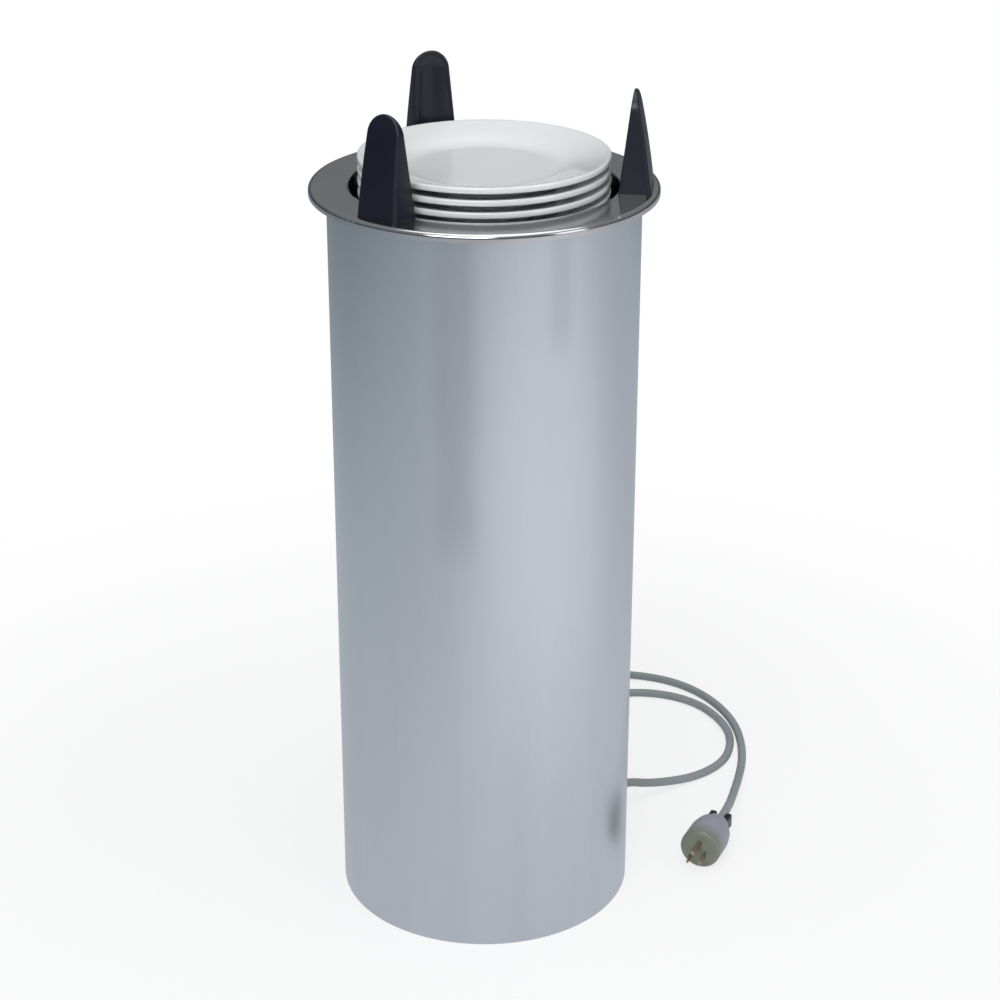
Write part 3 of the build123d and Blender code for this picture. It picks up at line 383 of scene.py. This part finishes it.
@dataclass(frozen=True)
class PaintedReflection:
    """A soft, darker streak down the tube, which stands for a dark reflection in the photo.

    Attributes:
        angle: Its middle, from +X in degrees.
        width: Half its width.
        foot: Height at which it has faded out.
        fade: Height over which it fades.
        shade: Brightness left in its middle.
        core: Share of the width that is fully dark.
        rim: Share of the width past which it is clear.
        sway_scale: Scale of the noise that moves its edges.
    """

    angle: float
    width: float
    foot: float
    fade: float
    shade: float
    core: float = 0.7
    rim: float = 1.6
    sway_scale: float = 7.0

    def mask(self, kit: NodeKit) -> bpy.types.NodeSocket:
        """Return 1 - (1 - shade) a b, where a falls off sideways and b towards the foot.

        Sideways is the level distance from a line on the tube, moved a little by a noise along the height.
        """
        place = kit.add("ShaderNodeTexCoord").outputs["Object"]
        level = kit.add("ShaderNodeVectorMath", {0: place, 1: (1.0, 1.0, 0.0)}, operation="MULTIPLY")
        a = radians(self.angle)
        line = (BODY_R * cos(a), BODY_R * sin(a), 0.0)
        off = kit.add("ShaderNodeVectorMath", {0: level.outputs[0], 1: line}, operation="DISTANCE")
        rise = kit.add("ShaderNodeSeparateXYZ", {0: place}).outputs["Z"]
        tall = kit.add("ShaderNodeVectorMath", {0: place, 1: (0.0, 0.0, 1.0)}, operation="MULTIPLY")
        sway = kit.add("ShaderNodeTexNoise", {"Vector": tall.outputs[0], "Scale": self.sway_scale,
                                              "Detail": 1.0})
        swayed = kit.add("ShaderNodeMath", {0: sway.outputs["Fac"], 1: self.width, 2: off.outputs["Value"]},
                         operation="MULTIPLY_ADD")
        across = kit.add("ShaderNodeMapRange",
                         {0: swayed.outputs[0], 1: self.width * self.core, 2: self.width * self.rim, 3: 1.0,
                          4: 0.0}, interpolation_type="SMOOTHSTEP")
        along = kit.add("ShaderNodeMapRange",
                        {0: rise, 1: self.foot, 2: self.foot + self.fade, 3: 0.0, 4: 1.0},
                        interpolation_type="SMOOTHSTEP")
        both = kit.add("ShaderNodeMath", {0: across.outputs[0], 1: along.outputs[0]}, operation="MULTIPLY")
        left = kit.add("ShaderNodeMath", {0: both.outputs[0], 1: self.shade - 1, 2: 1.0},
                       operation="MULTIPLY_ADD")
        return left.outputs[0]


@dataclass(frozen=True)
class BrushedMetal(Finish):
    """A metal with brush lines, soft upright bands, and painted dark reflections as streaks on the tube.

    Attributes:
        grain: How the lines run.
        depth: How far the lines move the colour.
        bands: How far the upright bands darken it.
        anisotropy: Stretch of the highlights.
        painted_reflections: Painted dark reflections, as darker streaks.
        band_scale: Scale of the bands' noise.
    """

    metallic: float = 1.0
    grain: Grain = Grain.AXIAL
    depth: float = 0.2
    bands: float = 0.0
    anisotropy: float = 0.0
    painted_reflections: tuple[PaintedReflection, ...] = ()
    band_scale: float = 22.0

    def extras(self, shader: bpy.types.Node) -> None:
        shader.inputs["Anisotropic"].default_value = self.anisotropy

    def detail(self, kit: NodeKit, effects: Effects, shader: bpy.types.Node) -> None:
        lines = kit.add("ShaderNodeGroup", {}, node_tree=effects.brushed)
        lines.inputs["Stretch"].default_value = self.grain.value
        lines.inputs["Depth"].default_value = self.depth
        lines.inputs["Bump"].default_value = self.bump
        base = shader.inputs["Base Color"].links[0].from_socket
        toned = kit.add("ShaderNodeVectorMath", {0: base, "Scale": lines.outputs["Tone"]}, operation="SCALE")
        result = toned.outputs[0]
        if self.bands:
            place = kit.add("ShaderNodeTexCoord").outputs["Object"]
            tall = kit.add("ShaderNodeVectorMath", {0: place, 1: (1.0, 1.0, 0.05)}, operation="MULTIPLY")
            band = kit.add("ShaderNodeTexNoise", {"Vector": tall.outputs[0], "Scale": self.band_scale,
                                                  "Detail": 2.0})
            shade = kit.ramp(band.outputs["Fac"], [(0.35, (1 - self.bands,) * 3), (0.65, (1.0, 1.0, 1.0))])
            shaded = kit.add("ShaderNodeVectorMath", {0: result, 1: shade}, operation="MULTIPLY")
            result = shaded.outputs[0]
        # Painted dark reflections: each darkens the base colour in a streak down the tube.
        for painted_streak in self.painted_reflections:
            painted_dark = kit.add("ShaderNodeVectorMath", {0: result, "Scale": painted_streak.mask(kit)}, operation="SCALE")
            result = painted_dark.outputs[0]
        kit.tree.links.new(result, shader.inputs["Base Color"])
        kit.tree.links.new(lines.outputs["Normal"], shader.inputs["Normal"])


@dataclass(frozen=True)
class Moulded(Finish):
    """A moulded plastic or rubber, with an optional clear gloss.

    Attributes:
        coat: Weight of the gloss coat.
        coat_roughness: Its roughness.
    """

    coat: float = 0.0
    coat_roughness: float = 0.1

    def extras(self, shader: bpy.types.Node) -> None:
        super().extras(shader)
        shader.inputs["Coat Weight"].default_value = self.coat
        shader.inputs["Coat Roughness"].default_value = self.coat_roughness


@dataclass(frozen=True)
class TwoTone(Moulded):
    """A moulding whose colour changes along a line in the row frame.

    Attributes:
        far_colour: Colour past the change.
        start: Where the change begins.
        end: Where it ends.
    """

    far_colour: tuple[float, float, float] = (0.1, 0.1, 0.1)
    start: tuple[float, float, float] = (0.0, 0.0, 0.0)
    end: tuple[float, float, float] = (0.0, 0.0, 1.0)

    def detail(self, kit: NodeKit, effects: Effects, shader: bpy.types.Node) -> None:
        way = Vector(self.end) - Vector(self.start)
        place = kit.add("ShaderNodeTexCoord").outputs["Object"]
        along = kit.add("ShaderNodeVectorMath", {0: place, 1: tuple(way / way.length_squared)},
                        operation="DOT_PRODUCT")
        offset = Vector(self.start).dot(way) / way.length_squared
        share = kit.add("ShaderNodeMath", {0: along.outputs["Value"], 1: offset}, operation="SUBTRACT")
        tint = kit.ramp(share.outputs[0], [(0.0, self.colour), (1.0, self.far_colour)])
        kit.tree.links.new(tint, shader.inputs["Base Color"])


# Sub-assemblies


@dataclass
class Assembly:
    """A group of pieces that share the frame, the finishes and a way to place them.

    Attributes:
        nodes: The CAD nodes by name.
        materials: Finished materials by name.
    """

    nodes: dict
    materials: dict

    def dress(self, material: str, *names: str) -> None:
        """Give CAD nodes a finish.

        Args:
            material: The finish's name.
            names: The nodes.
        """
        for name in names:
            data = self.nodes[name].data
            data.materials.clear()
            data.materials.append(self.materials[material])

    def place(self, obj: bpy.types.Object, body: str, material: str, slot: str,
              *replaced: str) -> bpy.types.Object:
        """Finish a new piece and let it ride on a body.

        Args:
            obj: The piece.
            body: The CAD body.
            material: The finish's name.
            slot: The record's material slot. Not used.
            replaced: CAD nodes that it stands for.
        """
        obj.data.materials.clear()
        obj.data.materials.append(self.materials[material])
        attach(obj, body)
        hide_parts(*replaced)
        return obj


@dataclass
class Casing(Assembly):
    """The tube, the flange and the sheet-metal pieces inside."""

    def build(self) -> None:
        """Dress the shell, the flange and the fixed parts of the base."""
        self.dress("satin_steel", "outer_shell")
        self.dress("polished_steel", "top_flange")
        rails = [f"guide_rail_{n}" for n in (1, 2, 3)] + [f"spring_hanger_{n}" for n in (1, 2, 3)]
        self.dress("zinc_sheet", *rails, "bottom_pan", "heater_tray", "tray_posts", "heater_clips")
        self.dress("steel_screws", "guide_screws", "post_screws")
        self.dress("black_rubber", "rail_stops", "lower_bumpers")


@dataclass
class Heater(Assembly):
    """The element, its controls and its wiring."""

    def build(self) -> None:
        """Dress the pieces in the base."""
        self.dress("heat_tinted_steel", "heater_element")
        self.dress("phenolic", "thermostat", "high_limit", "terminal_block")
        self.dress("brass", "terminal_screws", "earth_stud")
        for wire, node in (("black_wire", "line_leads"), ("white_wire", "neutral_leads"),
                           ("green_wire", "earth_lead")):
            self.dress(wire, node)


@dataclass
class Guides(Assembly):
    """The three leaning, round-topped guides on the flange.

    Sizes are in millimetres and follow the CAD guide. The outer edge's rounding falls from edge_foot at the
    flange by edge_loss at the top. The spine is the line up the middle of the sunk panel.
    """

    foot_width: float = 43.5
    top_width: float = 33.0
    height: float = 90.0
    inner: float = 123.0
    depth: float = 29.0
    lean: float = 10.6
    tip: float = 3.0
    bulge: float = 1.2
    border: float = 4.5
    sunk: float = 0.8
    spine_floor: float = 24.0
    round_inner: float = 1.0
    edge_foot: float = 4.0
    edge_loss: float = 2.8

    def _outline(self, inset: float | np.ndarray, floor: float,
                 keep: float = 1.0) -> tuple[np.ndarray, np.ndarray]:
        """Return the (across, height) points of the tapering tombstone outline, drawn in by an inset.

        At height z the sides stand at +-(f / 2 - (f - w) z / 2 h - inset) for foot width f, top width w and
        height h. The top arc is centred where its radius is the sides' half width there.

        Args:
            inset: How far the outline is drawn in.
            floor: Height at which the sides begin.
            keep: Share of the width that is kept. 0 leaves a line up the middle.
        """
        taper = (self.foot_width - self.top_width) / 2
        centre = self.height - self.top_width / 2 / (1 - taper / self.height)
        t = np.linspace(0, 1, 14)[:-1]
        arc = np.linspace(pi, 0, 33)
        across = np.concatenate([-np.ones(t.size), np.cos(arc), np.ones(t.size)])
        rise = np.concatenate([np.zeros(t.size), np.sin(arc), np.zeros(t.size)])
        base = np.concatenate([floor + t * (centre - floor), np.full(arc.size, centre),
                               (floor + t * (centre - floor))[::-1]])
        r = keep * (self.foot_width / 2 - taper * base / self.height - inset)
        return across * r, base + rise * r

    def _inner(self, z: np.ndarray) -> np.ndarray:
        """Radius of the inner face: a straight lean."""
        return self.inner + self.lean * z / self.height

    def _outer(self, z: np.ndarray) -> np.ndarray:
        """Radius of the outer face: a straight line with a bulge of 4 b s (1 - s)."""
        s = z / self.height
        straight = self.inner + self.depth + (self.lean + self.tip - self.depth) * s
        return straight + 4 * self.bulge * s * (1 - s)

    def points(self) -> np.ndarray:
        """Stack the outline's rings from the sunk inner panel round the edges to the middle of the back."""
        y, z = self._outline(0.0, self.spine_floor, keep=0.0)
        rings = [(y, z, self._inner(z) + self.sunk)]
        for step, depth in ((0.9, self.sunk), (0.1, 0.12), (-0.5, 0.0)):
            y, z = self._outline(self.border + step, self.border + step)
            rings.append((y, z, self._inner(z) + depth))
        y, z = self._outline(self.round_inner + 0.1, 0.0)
        rings.append((y, z, self._inner(z)))
        for a in np.linspace(0, pi / 2, 5)[1:]:
            y, z = self._outline(self.round_inner * (1 - sin(a)), 0.0)
            rings.append((y, z, self._inner(z) + self.round_inner * (1 - cos(a))))
        plain = self._outline(0.0, 0.0)[1]
        edge = self.edge_foot - self.edge_loss * plain / self.height
        for a in np.linspace(0, pi / 2, 8):
            y, z = self._outline(edge * (1 - cos(a)), 0.0)
            rings.append((y, z, self._outer(z) - edge * (1 - sin(a))))
        y, z = self._outline(0.0, 0.0, keep=0.0)
        rings.append((y, z, self._outer(z)))
        return np.stack([np.stack(ring, -1) for ring in rings])

    def build(self) -> None:
        """Place one guide at each station."""
        local = self.points()
        for node, angle in zip(("guide_right", "guide_rear", "guide_front"), STATIONS):
            y, z, x = np.moveaxis(local, -1, 0)
            guide = grid_object(f"{node}_moulding", turned(x, y, z + TOP / MM, angle), sharp=50)
            self.place(guide, "dispenser", "guide_nylon", "guide_nylon", node)


@dataclass
class Plates(Assembly):
    """The stack of plates, each turned about the body's axis.

    Sizes are in millimetres and follow the CAD plate.
    """

    count: int = 5
    first: float = 681.5
    pitch: float = 11.0

    @staticmethod
    def profile() -> list:
        """Return (height, radius) pairs from the well's middle over the rim to the foot's middle."""
        top = [(10.7, 0), (10.7, 70), (17.5, 87), (24.0, 111.75), (24.0, 114.5)]
        under = [(18.5, 114.5), (18.5, 111.75), (12.0, 87), (5.2, 70)]
        foot = [(5.2, 64), (0.0, 63), (0.0, 59), (5.2, 58), (5.2, 0)]
        reach = [9.0, 9.0, 2.0, 2.7, 2.7, 2.0, 9.0, 6.0, 1.2, 0.8, 0.8, 1.2]
        return rounded(top + under + foot, reach, 8)

    def build(self) -> None:
        """Turn each plate and seat it at its height."""
        for number in range(1, self.count + 1):
            base = self.first + (number - 1) * self.pitch
            profile = [((h + base) * MM, r * MM) for h, r in self.profile()]
            plate = lathe(f"china_plate_{number}", profile, Vector(), Vector((0, 0, 1)), 144, 60)
            self.place(plate, f"plate_{number}", "white_glaze", "white_china", f"plate_{number}")


@dataclass
class Carrier(Assembly):
    """The platform, legs, rollers and springs.

    Sizes are in millimetres. Two springs stand half_gap to each side of a station between the guides.
    """

    radius: float = 131.4457
    wire: float = 1.6
    coil: float = 12.0
    low: float = 542.2
    high: float = 680.0
    hook_low: float = 530.25
    hook_high: float = 690.95
    hook_reach: float = 5.0
    turns: int = 76
    points_per_turn: int = 14
    half_gap: float = 8.0

    def spring_path(self, angle: float, side: int) -> np.ndarray:
        """Return a close coil with a hook at each end: x = r cos wt, y = r sin wt, z rising evenly.

        Args:
            angle: The station's angle in degrees.
            side: -1 or 1, which of the pair it is.
        """
        r = (self.coil - self.wire) / 2
        t = np.linspace(0, 1, self.turns * self.points_per_turn + 1)
        phase = 2 * pi * self.turns * t
        rise = self.low + 1 + (self.high - self.low - 2) * t
        coil = np.stack([r * np.cos(phase), r * np.sin(phase), rise], -1)
        hook = self.hook_low
        lower = np.array([[-self.hook_reach, 0, hook], [-1.5, 0, hook], [-0.3, 0, hook + 0.6],
                          [0, 0, hook + 2], [0.4, 0, self.low - 2], [r * 0.7, 0, self.low - 0.4]])
        upper = lower[::-1] * np.array([1, 1, -1]) + np.array([0, 0, self.hook_low + self.hook_high])
        local = np.concatenate([lower, coil, upper])
        x, y, z = local.T
        return turned(x + self.radius, y + side * self.half_gap, z, angle)

    def build(self) -> None:
        """Dress the sheet parts and wind the springs."""
        legs = [f"carrier_leg_{n}" for n in (1, 2, 3)]
        self.dress("zinc_sheet", "carrier_platform", "carrier_ring", *legs)
        self.dress("steel_screws", "carrier_bolts", "roller_pins")
        self.dress("white_nylon", *(f"roller_{n}" for n in range(1, 7)))
        stations = [(angle + 60, side) for angle in STATIONS for side in (-1, 1)]
        for number, (angle, side) in enumerate(stations, 1):
            spring = tube(f"wound_spring_{number}", self.spring_path(angle, side), self.wire / 2 * MM, 6)
            spring.data.materials.append(self.materials["spring_wire"])
            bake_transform(spring)
            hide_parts(f"spring_{number}")


@dataclass
class MainsLead(Assembly):
    """The strain relief, the cord on the floor and the plug.

    The route's first point is the end of the strain relief, and its last is the back of the plug. The route,
    diameter and length are in metres, and the plug's sizes in millimetres. Its heading is in degrees from +X.
    """

    diameter: float = 0.009
    length: float = 1.574
    heading: float = 244.8
    plug_body: float = 54.0
    groove_place: float = 44.0
    groove_width: float = 1.2
    groove_depth: float = 0.5
    route: list = field(default_factory=lambda: [
        (0.1355, 0.1059, 0.0260), (0.1513, 0.1182, 0.0260), (0.1740, 0.1305, 0.0165),
        (0.1990, 0.1470, 0.0085), (0.2250, 0.1610, 0.0048), (0.2480, 0.1770, LYING),
        (0.2660, 0.1990, LYING), (0.2760, 0.2290, LYING), (0.2775, 0.2640, LYING),
        (0.2665, 0.2985, LYING), (0.2470, 0.3290, LYING), (0.2165, 0.3490, LYING),
        (0.1815, 0.3565, LYING), (0.1460, 0.3510, LYING), (0.1080, 0.3340, LYING),
        (0.0660, 0.3060, LYING), (0.0200, 0.2720, LYING), (-0.0300, 0.2450, LYING),
        (-0.0780, 0.2360, LYING), (-0.1220, 0.2520, LYING), (-0.1470, 0.2920, LYING),
        (-0.1480, 0.3400, LYING), (-0.1220, 0.3840, LYING), (-0.0780, 0.4110, LYING),
        (-0.0240, 0.4220, LYING), (0.0340, 0.4230, LYING), (0.0900, 0.4140, LYING),
        (0.1410, 0.4030, LYING), (0.1850, 0.3980, LYING), (0.2220, 0.3830, LYING),
        (0.2510, 0.3570, LYING), (0.2730, 0.3210, LYING), (0.2860, 0.2800, LYING),
        (0.2890, 0.2380, LYING), (0.2855, 0.1970, 0.0052), (0.2775, 0.1580, 0.0081),
        (0.2670, 0.1140, 0.0146), (0.2554, 0.0699, 0.0211), (0.2409, 0.0391, 0.0211),
    ])

    def housing(self) -> bpy.types.Object:
        """Turn the plug's body: a shouldered grip with a shallow groove and a rounded face."""
        end = self.plug_body
        corners = [(0, 0), (0, 13), (4.6, 13), (12, 18.5), (24, 21), (end - 2, 21), (end, 19), (end, 0)]
        reach = [0.8, 1.5, 2, 5, 1.5, 0.8]
        profile = np.array(rounded(corners, reach, 9))
        off = (profile[:, 0] - self.groove_place) / self.groove_width
        groove = self.groove_depth * np.exp(-(off**2))
        profile[:, 1] = np.maximum(profile[:, 1] - groove, 0)
        a = radians(self.heading)
        way = Vector((cos(a), sin(a), 0))
        return lathe("plug_grip", (profile * MM).tolist(), Vector(self.route[-1]), way, 96, 50)

    def cord(self) -> bpy.types.Object:
        """Lay the cord as one NURBS curve whose control points are the route."""
        data = bpy.data.curves.new("mains_cord_line", "CURVE")
        data.dimensions = "3D"
        data.bevel_depth = self.diameter / 2
        data.bevel_resolution = 5
        data.resolution_u = 10
        data.use_fill_caps = True
        spline = data.splines.new("NURBS")
        spline.points.add(len(self.route) - 1)
        flat = np.concatenate([np.array(self.route), np.ones((len(self.route), 1))], 1)
        spline.points.foreach_set("co", flat.ravel())
        spline.order_u = 3
        spline.use_endpoint_u = True
        obj = bpy.data.objects.new("floor_cord", data)
        bpy.context.scene.collection.objects.link(obj)
        return obj

    def build(self) -> None:
        self.dress("black_rubber", "strain_relief")
        self.dress("cord_jacket", "cord_tail")
        self.dress("plug_jaws", "plug_clamp")
        self.dress("dark_screws", "clamp_screws")
        self.dress("dull_brass", "plug_blades", "earth_pin")
        plug = self.place(self.housing(), "dispenser", "plug_shell", "plug_shell", "plug_housing")
        cord = self.place(self.cord(), "dispenser", "cord_jacket", "cord_jacket", "mains_cord")


@dataclass(frozen=True)
class Softbox:
    """A rectangular studio light.

    Attributes:
        name: The light's name.
        place: Where it stands.
        target: What it faces.
        size: Width and height.
        power: Watts.
        colour: Linear colour.
    """

    name: str
    place: tuple[float, float, float]
    target: tuple[float, float, float]
    size: tuple[float, float]
    power: float
    colour: tuple[float, float, float] = (1.0, 1.0, 1.0)

    def build(self) -> None:
        """Make the light."""
        data = bpy.data.lights.new(self.name, "AREA")
        data.shape = "RECTANGLE"
        data.size, data.size_y = self.size
        data.energy = self.power
        data.color = self.colour
        obj = bpy.data.objects.new(self.name, data)
        obj.location = self.place
        obj.rotation_euler = (Vector(self.target) - Vector(self.place)).to_track_quat("-Z", "Y").to_euler()
        bpy.context.scene.collection.objects.link(obj)


@dataclass
class Studio:
    """Floor, surroundings, lights and camera.

    Attributes:
        materials: Finished materials by name.
        eye: The camera's place.
        yaw: Its turn from +Y towards +X in degrees.
        pitch: Its angle below the horizon.
        roll: Its roll about the line of sight.
        lens: Focal length in millimetres.
        sweep_centre: Where the floor is brightest in metal and glass.
        sweep_reach: Distance from there to the ramp's end.
        sweep_share: Share of plain white near the object. The rest is real shading.
        sweep_fall: (position, colour) stops of the ramp.
        sweep_half: Half the floor's side.
        sweep_drop: How far the floor lies below the feet.
        shadow_reach: Distances between which the share of plain white grows to 1.
    """

    materials: dict
    eye: tuple[float, float, float] = (-0.0231, -2.0786, 1.33005)
    yaw: float = 1.037
    pitch: float = 23.92
    roll: float = -0.085
    lens: float = 85.68
    sweep_centre: tuple[float, float, float] = (1.1, -1.2, 0.0)
    sweep_reach: float = 8.0
    sweep_share: float = 0.74
    sweep_fall: tuple = (
        (0.0, (1.0, 1.0, 1.0)), (0.11, (0.96, 0.97, 1.0)), (0.156, (0.76, 0.77, 0.80)),
        (0.235, (0.61, 0.63, 0.66)), (0.325, (0.56, 0.60, 0.63)), (0.375, (0.47, 0.51, 0.54)),
        (0.46, (0.33, 0.38, 0.41)), (0.64, (0.16, 0.19, 0.21)), (1.0, (0.06, 0.07, 0.08)))
    sweep_half: float = 12.0
    sweep_drop: float = 0.0002
    shadow_reach: tuple[float, float] = (0.35, 1.1)

    def camera(self) -> None:
        """Place the photograph's camera.

        It looks along (sin y cos p, cos y cos p, -sin p) for yaw y and pitch p, and rolls about that line.
        """
        y, p = radians(self.yaw), radians(self.pitch)
        forward = Vector((sin(y) * cos(p), cos(y) * cos(p), -sin(p)))
        right = Vector((cos(y), -sin(y), 0))
        right.rotate(Matrix.Rotation(radians(self.roll), 3, forward))
        up = right.cross(forward)
        data = bpy.data.cameras.new("photo_camera")
        data.sensor_width = 36
        data.lens = self.lens
        data.clip_end = 60
        obj = bpy.data.objects.new("photo_camera", data)
        turn = Matrix((right, up, -forward)).transposed()
        obj.matrix_world = Matrix.Translation(self.eye) @ turn.to_4x4()
        bpy.context.scene.collection.objects.link(obj)
        bpy.context.scene.camera = obj

    def floor(self) -> None:
        """Lay the white sweep.

        The camera sees white paper, which near the object keeps a share of its real shading, for the shadow.
        In metal and glass it is brightest at the right front and falls off to the dark end of the studio.
        """
        edge, z = self.sweep_half, -self.sweep_drop
        points = np.array([[[-edge, -edge, z], [edge, -edge, z]], [[-edge, edge, z], [edge, edge, z]]])
        obj = grid_object("studio_floor", points, wrap=False)
        material = self.materials["white_sweep"]
        kit = NodeKit(material.node_tree)
        place = kit.add("ShaderNodeTexCoord").outputs["Object"]
        off = kit.add("ShaderNodeVectorMath", {0: place, 1: self.sweep_centre}, operation="DISTANCE")
        share = kit.add("ShaderNodeMapRange", {0: off.outputs["Value"], 1: 0.0, 2: self.sweep_reach})
        fall = kit.ramp(share.outputs[0], list(self.sweep_fall))
        path = kit.add("ShaderNodeLightPath").outputs
        shiny = kit.add("ShaderNodeMath", {0: path["Is Glossy Ray"], 1: path["Is Transmission Ray"]},
                        operation="MAXIMUM").outputs[0]
        colour = kit.add("ShaderNodeMix", {0: shiny, MIX_A: WHITE, MIX_B: fall}, data_type="RGBA")
        seen = kit.add("ShaderNodeMath", {0: path["Is Camera Ray"], 1: shiny}, operation="MAXIMUM").outputs[0]
        apart = kit.add("ShaderNodeVectorMath", {0: place}, operation="LENGTH").outputs["Value"]
        near, far = self.shadow_reach
        bare = kit.add("ShaderNodeMapRange", {0: apart, 1: near, 2: far, 3: self.sweep_share, 4: 1.0},
                       interpolation_type="SMOOTHSTEP").outputs[0]
        part = kit.add("ShaderNodeMath", {0: seen, 1: bare}, operation="MULTIPLY").outputs[0]
        glow = kit.add("ShaderNodeEmission", {"Color": colour.outputs[MIX_RESULT]}).outputs[0]
        paper = material.node_tree.nodes["Principled BSDF"].outputs[0]
        out = material.node_tree.nodes["Material Output"]
        kit.tree.links.new(kit.add("ShaderNodeMixShader", {0: part, 1: paper, 2: glow}).outputs[0],
                           out.inputs["Surface"])
        obj.data.materials.append(material)

    def world(self) -> None:
        """Surround the scene with a grey room, darker at the horizon and cooler on the left.

        The camera sees it as white.
        """
        world = bpy.data.worlds.new("studio_room")
        world.use_nodes = True
        bpy.context.scene.world = world
        kit = NodeKit(world.node_tree)
        back = world.node_tree.nodes["Background"]
        place = kit.add("ShaderNodeTexCoord").outputs["Generated"]
        axes = kit.add("ShaderNodeSeparateXYZ", {0: place}).outputs
        sideways = kit.add("ShaderNodeMapRange", {0: axes["X"], 1: -1.0, 2: 1.0})
        tint = kit.ramp(sideways.outputs[0], [(0.0, (0.82, 0.96, 1.0)), (0.5, (0.93, 0.95, 1.0)),
                                              (1.0, (0.96, 0.95, 1.0))])
        level = kit.ramp(axes["Z"], [(0.0, (0.10,) * 3), (0.18, (0.17,) * 3), (0.30, (0.27,) * 3),
                                     (0.6, (0.32,) * 3), (1.0, (0.36,) * 3)])
        mixed = kit.add("ShaderNodeVectorMath", {0: tint, 1: level}, operation="MULTIPLY")
        seen = kit.add("ShaderNodeLightPath").outputs["Is Camera Ray"]
        room = kit.add("ShaderNodeMix", {0: seen, MIX_A: mixed.outputs[0], MIX_B: WHITE}, data_type="RGBA")
        kit.tree.links.new(room.outputs[MIX_RESULT], back.inputs["Color"])

    def build(self) -> None:
        """Set up everything around the object."""
        scene = bpy.context.scene
        scene.view_settings.view_transform = "Standard"
        scene.use_nodes = False
        self.world()
        self.floor()
        lights = (
            Softbox("overhead_box", (0.2, -0.2, 3.4), (0, 0, 0), (3.0, 3.0), 46.0),
            Softbox("front_box", (-0.9, -3.0, 2.5), (0, 0, 0.5), (2.4, 1.6), 54.0, (0.98, 0.99, 1.0)),
            Softbox("right_box", (2.6, -1.8, 1.5), (0, 0, 0.4), (1.2, 2.2), 14.0, (0.96, 0.97, 1.0)),
        )
        for light in lights:
            light.build()
        self.camera()


FINISHES = (
    BrushedMetal("satin_steel", (0.593, 0.632, 0.684), 0.33, 0.03, 14.0, 0.10, mottle=0.01, depth=0.06,
                 bands=0.04, anisotropy=0.3,
                 # Two painted dark reflections, as darker streaks down the tube.
                 painted_reflections=(PaintedReflection(258.7, 0.029, 0.38, 0.07, 0.88), PaintedReflection(297.2, 0.016, 0.585, 0.05, 0.89))),
    BrushedMetal("polished_steel", (0.52, 0.52, 0.53), 0.14, 0.04, 20.0, 0.04, mottle=0.03, grain=Grain.NONE,
                 depth=0.05),
    BrushedMetal("zinc_sheet", (0.50, 0.51, 0.52), 0.42, 0.12, 24.0, 0.10, grain=Grain.NONE, depth=0.12),
    BrushedMetal("steel_screws", (0.60, 0.60, 0.60), 0.32, 0.10, 60.0, 0.10, grain=Grain.NONE, depth=0.10),
    BrushedMetal("dark_screws", (0.07, 0.07, 0.09), 0.40, 0.10, 60.0, 0.10, grain=Grain.NONE, depth=0.10),
    BrushedMetal("heat_tinted_steel", (0.20, 0.18, 0.17), 0.48, 0.14, 40.0, 0.14, grain=Grain.NONE,
                 depth=0.3),
    BrushedMetal("spring_wire", (0.46, 0.46, 0.47), 0.30, 0.08, 50.0, 0.08, grain=Grain.NONE, depth=0.10),
    BrushedMetal("brass", (0.66, 0.48, 0.22), 0.30, 0.10, 50.0, 0.08, grain=Grain.NONE, depth=0.10),
    BrushedMetal("dull_brass", (0.40, 0.34, 0.24), 0.42, 0.10, 50.0, 0.08, grain=Grain.NONE, depth=0.10),
    Moulded("guide_nylon", (0.0035, 0.0045, 0.015), 0.38, 0.08, 26.0, 0.05, coat=0.12, coat_roughness=0.2),
    Moulded("white_glaze", (0.83, 0.845, 0.85), 0.16, 0.04, 9.0, 0.02, mottle=0.01, coat=0.5,
            coat_roughness=0.05),
    Moulded("white_nylon", (0.78, 0.77, 0.72), 0.45, 0.10, 40.0, 0.10),
    Moulded("black_rubber", (0.022, 0.022, 0.024), 0.62, 0.14, 40.0, 0.25),
    Moulded("phenolic", (0.045, 0.030, 0.024), 0.42, 0.12, 40.0, 0.12),
    Moulded("black_wire", (0.025, 0.025, 0.026), 0.45, 0.10, 60.0, 0.08),
    Moulded("white_wire", (0.72, 0.72, 0.69), 0.45, 0.10, 60.0, 0.08),
    Moulded("green_wire", (0.03, 0.24, 0.07), 0.45, 0.10, 60.0, 0.08),
    Moulded("cord_jacket", (0.31, 0.345, 0.355), 0.46, 0.12, 60.0, 0.14, mottle=0.06),
    Moulded("plug_jaws", (0.008, 0.008, 0.020), 0.42, 0.10, 60.0, 0.08, coat=0.2),
    TwoTone("plug_shell", (0.33, 0.335, 0.39), 0.40, 0.12, 50.0, 0.10, far_colour=(0.21, 0.225, 0.175),
            start=(0.2260, 0.0074, 0.0211), end=(0.2186, -0.0083, 0.0211)),
    Finish("white_sweep", (0.96, 0.96, 0.96), 0.80, 0.02, 3.0, 0.0, mottle=0.0),
)


def main() -> None:
    """Load the frame, dress and rebuild its pieces, and set up the studio."""
    logging.basicConfig(level=logging.INFO)
    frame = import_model()
    effects = Effects()
    materials = {finish.name: finish.build(effects) for finish in FINISHES}
    for assembly in (Casing, Heater, Guides, Plates, Carrier, MainsLead):
        assembly(frame["nodes"], materials).build()
        log.info("%s built", assembly.__name__)
    Studio(materials).build()


if __name__ == "__main__":
    main()
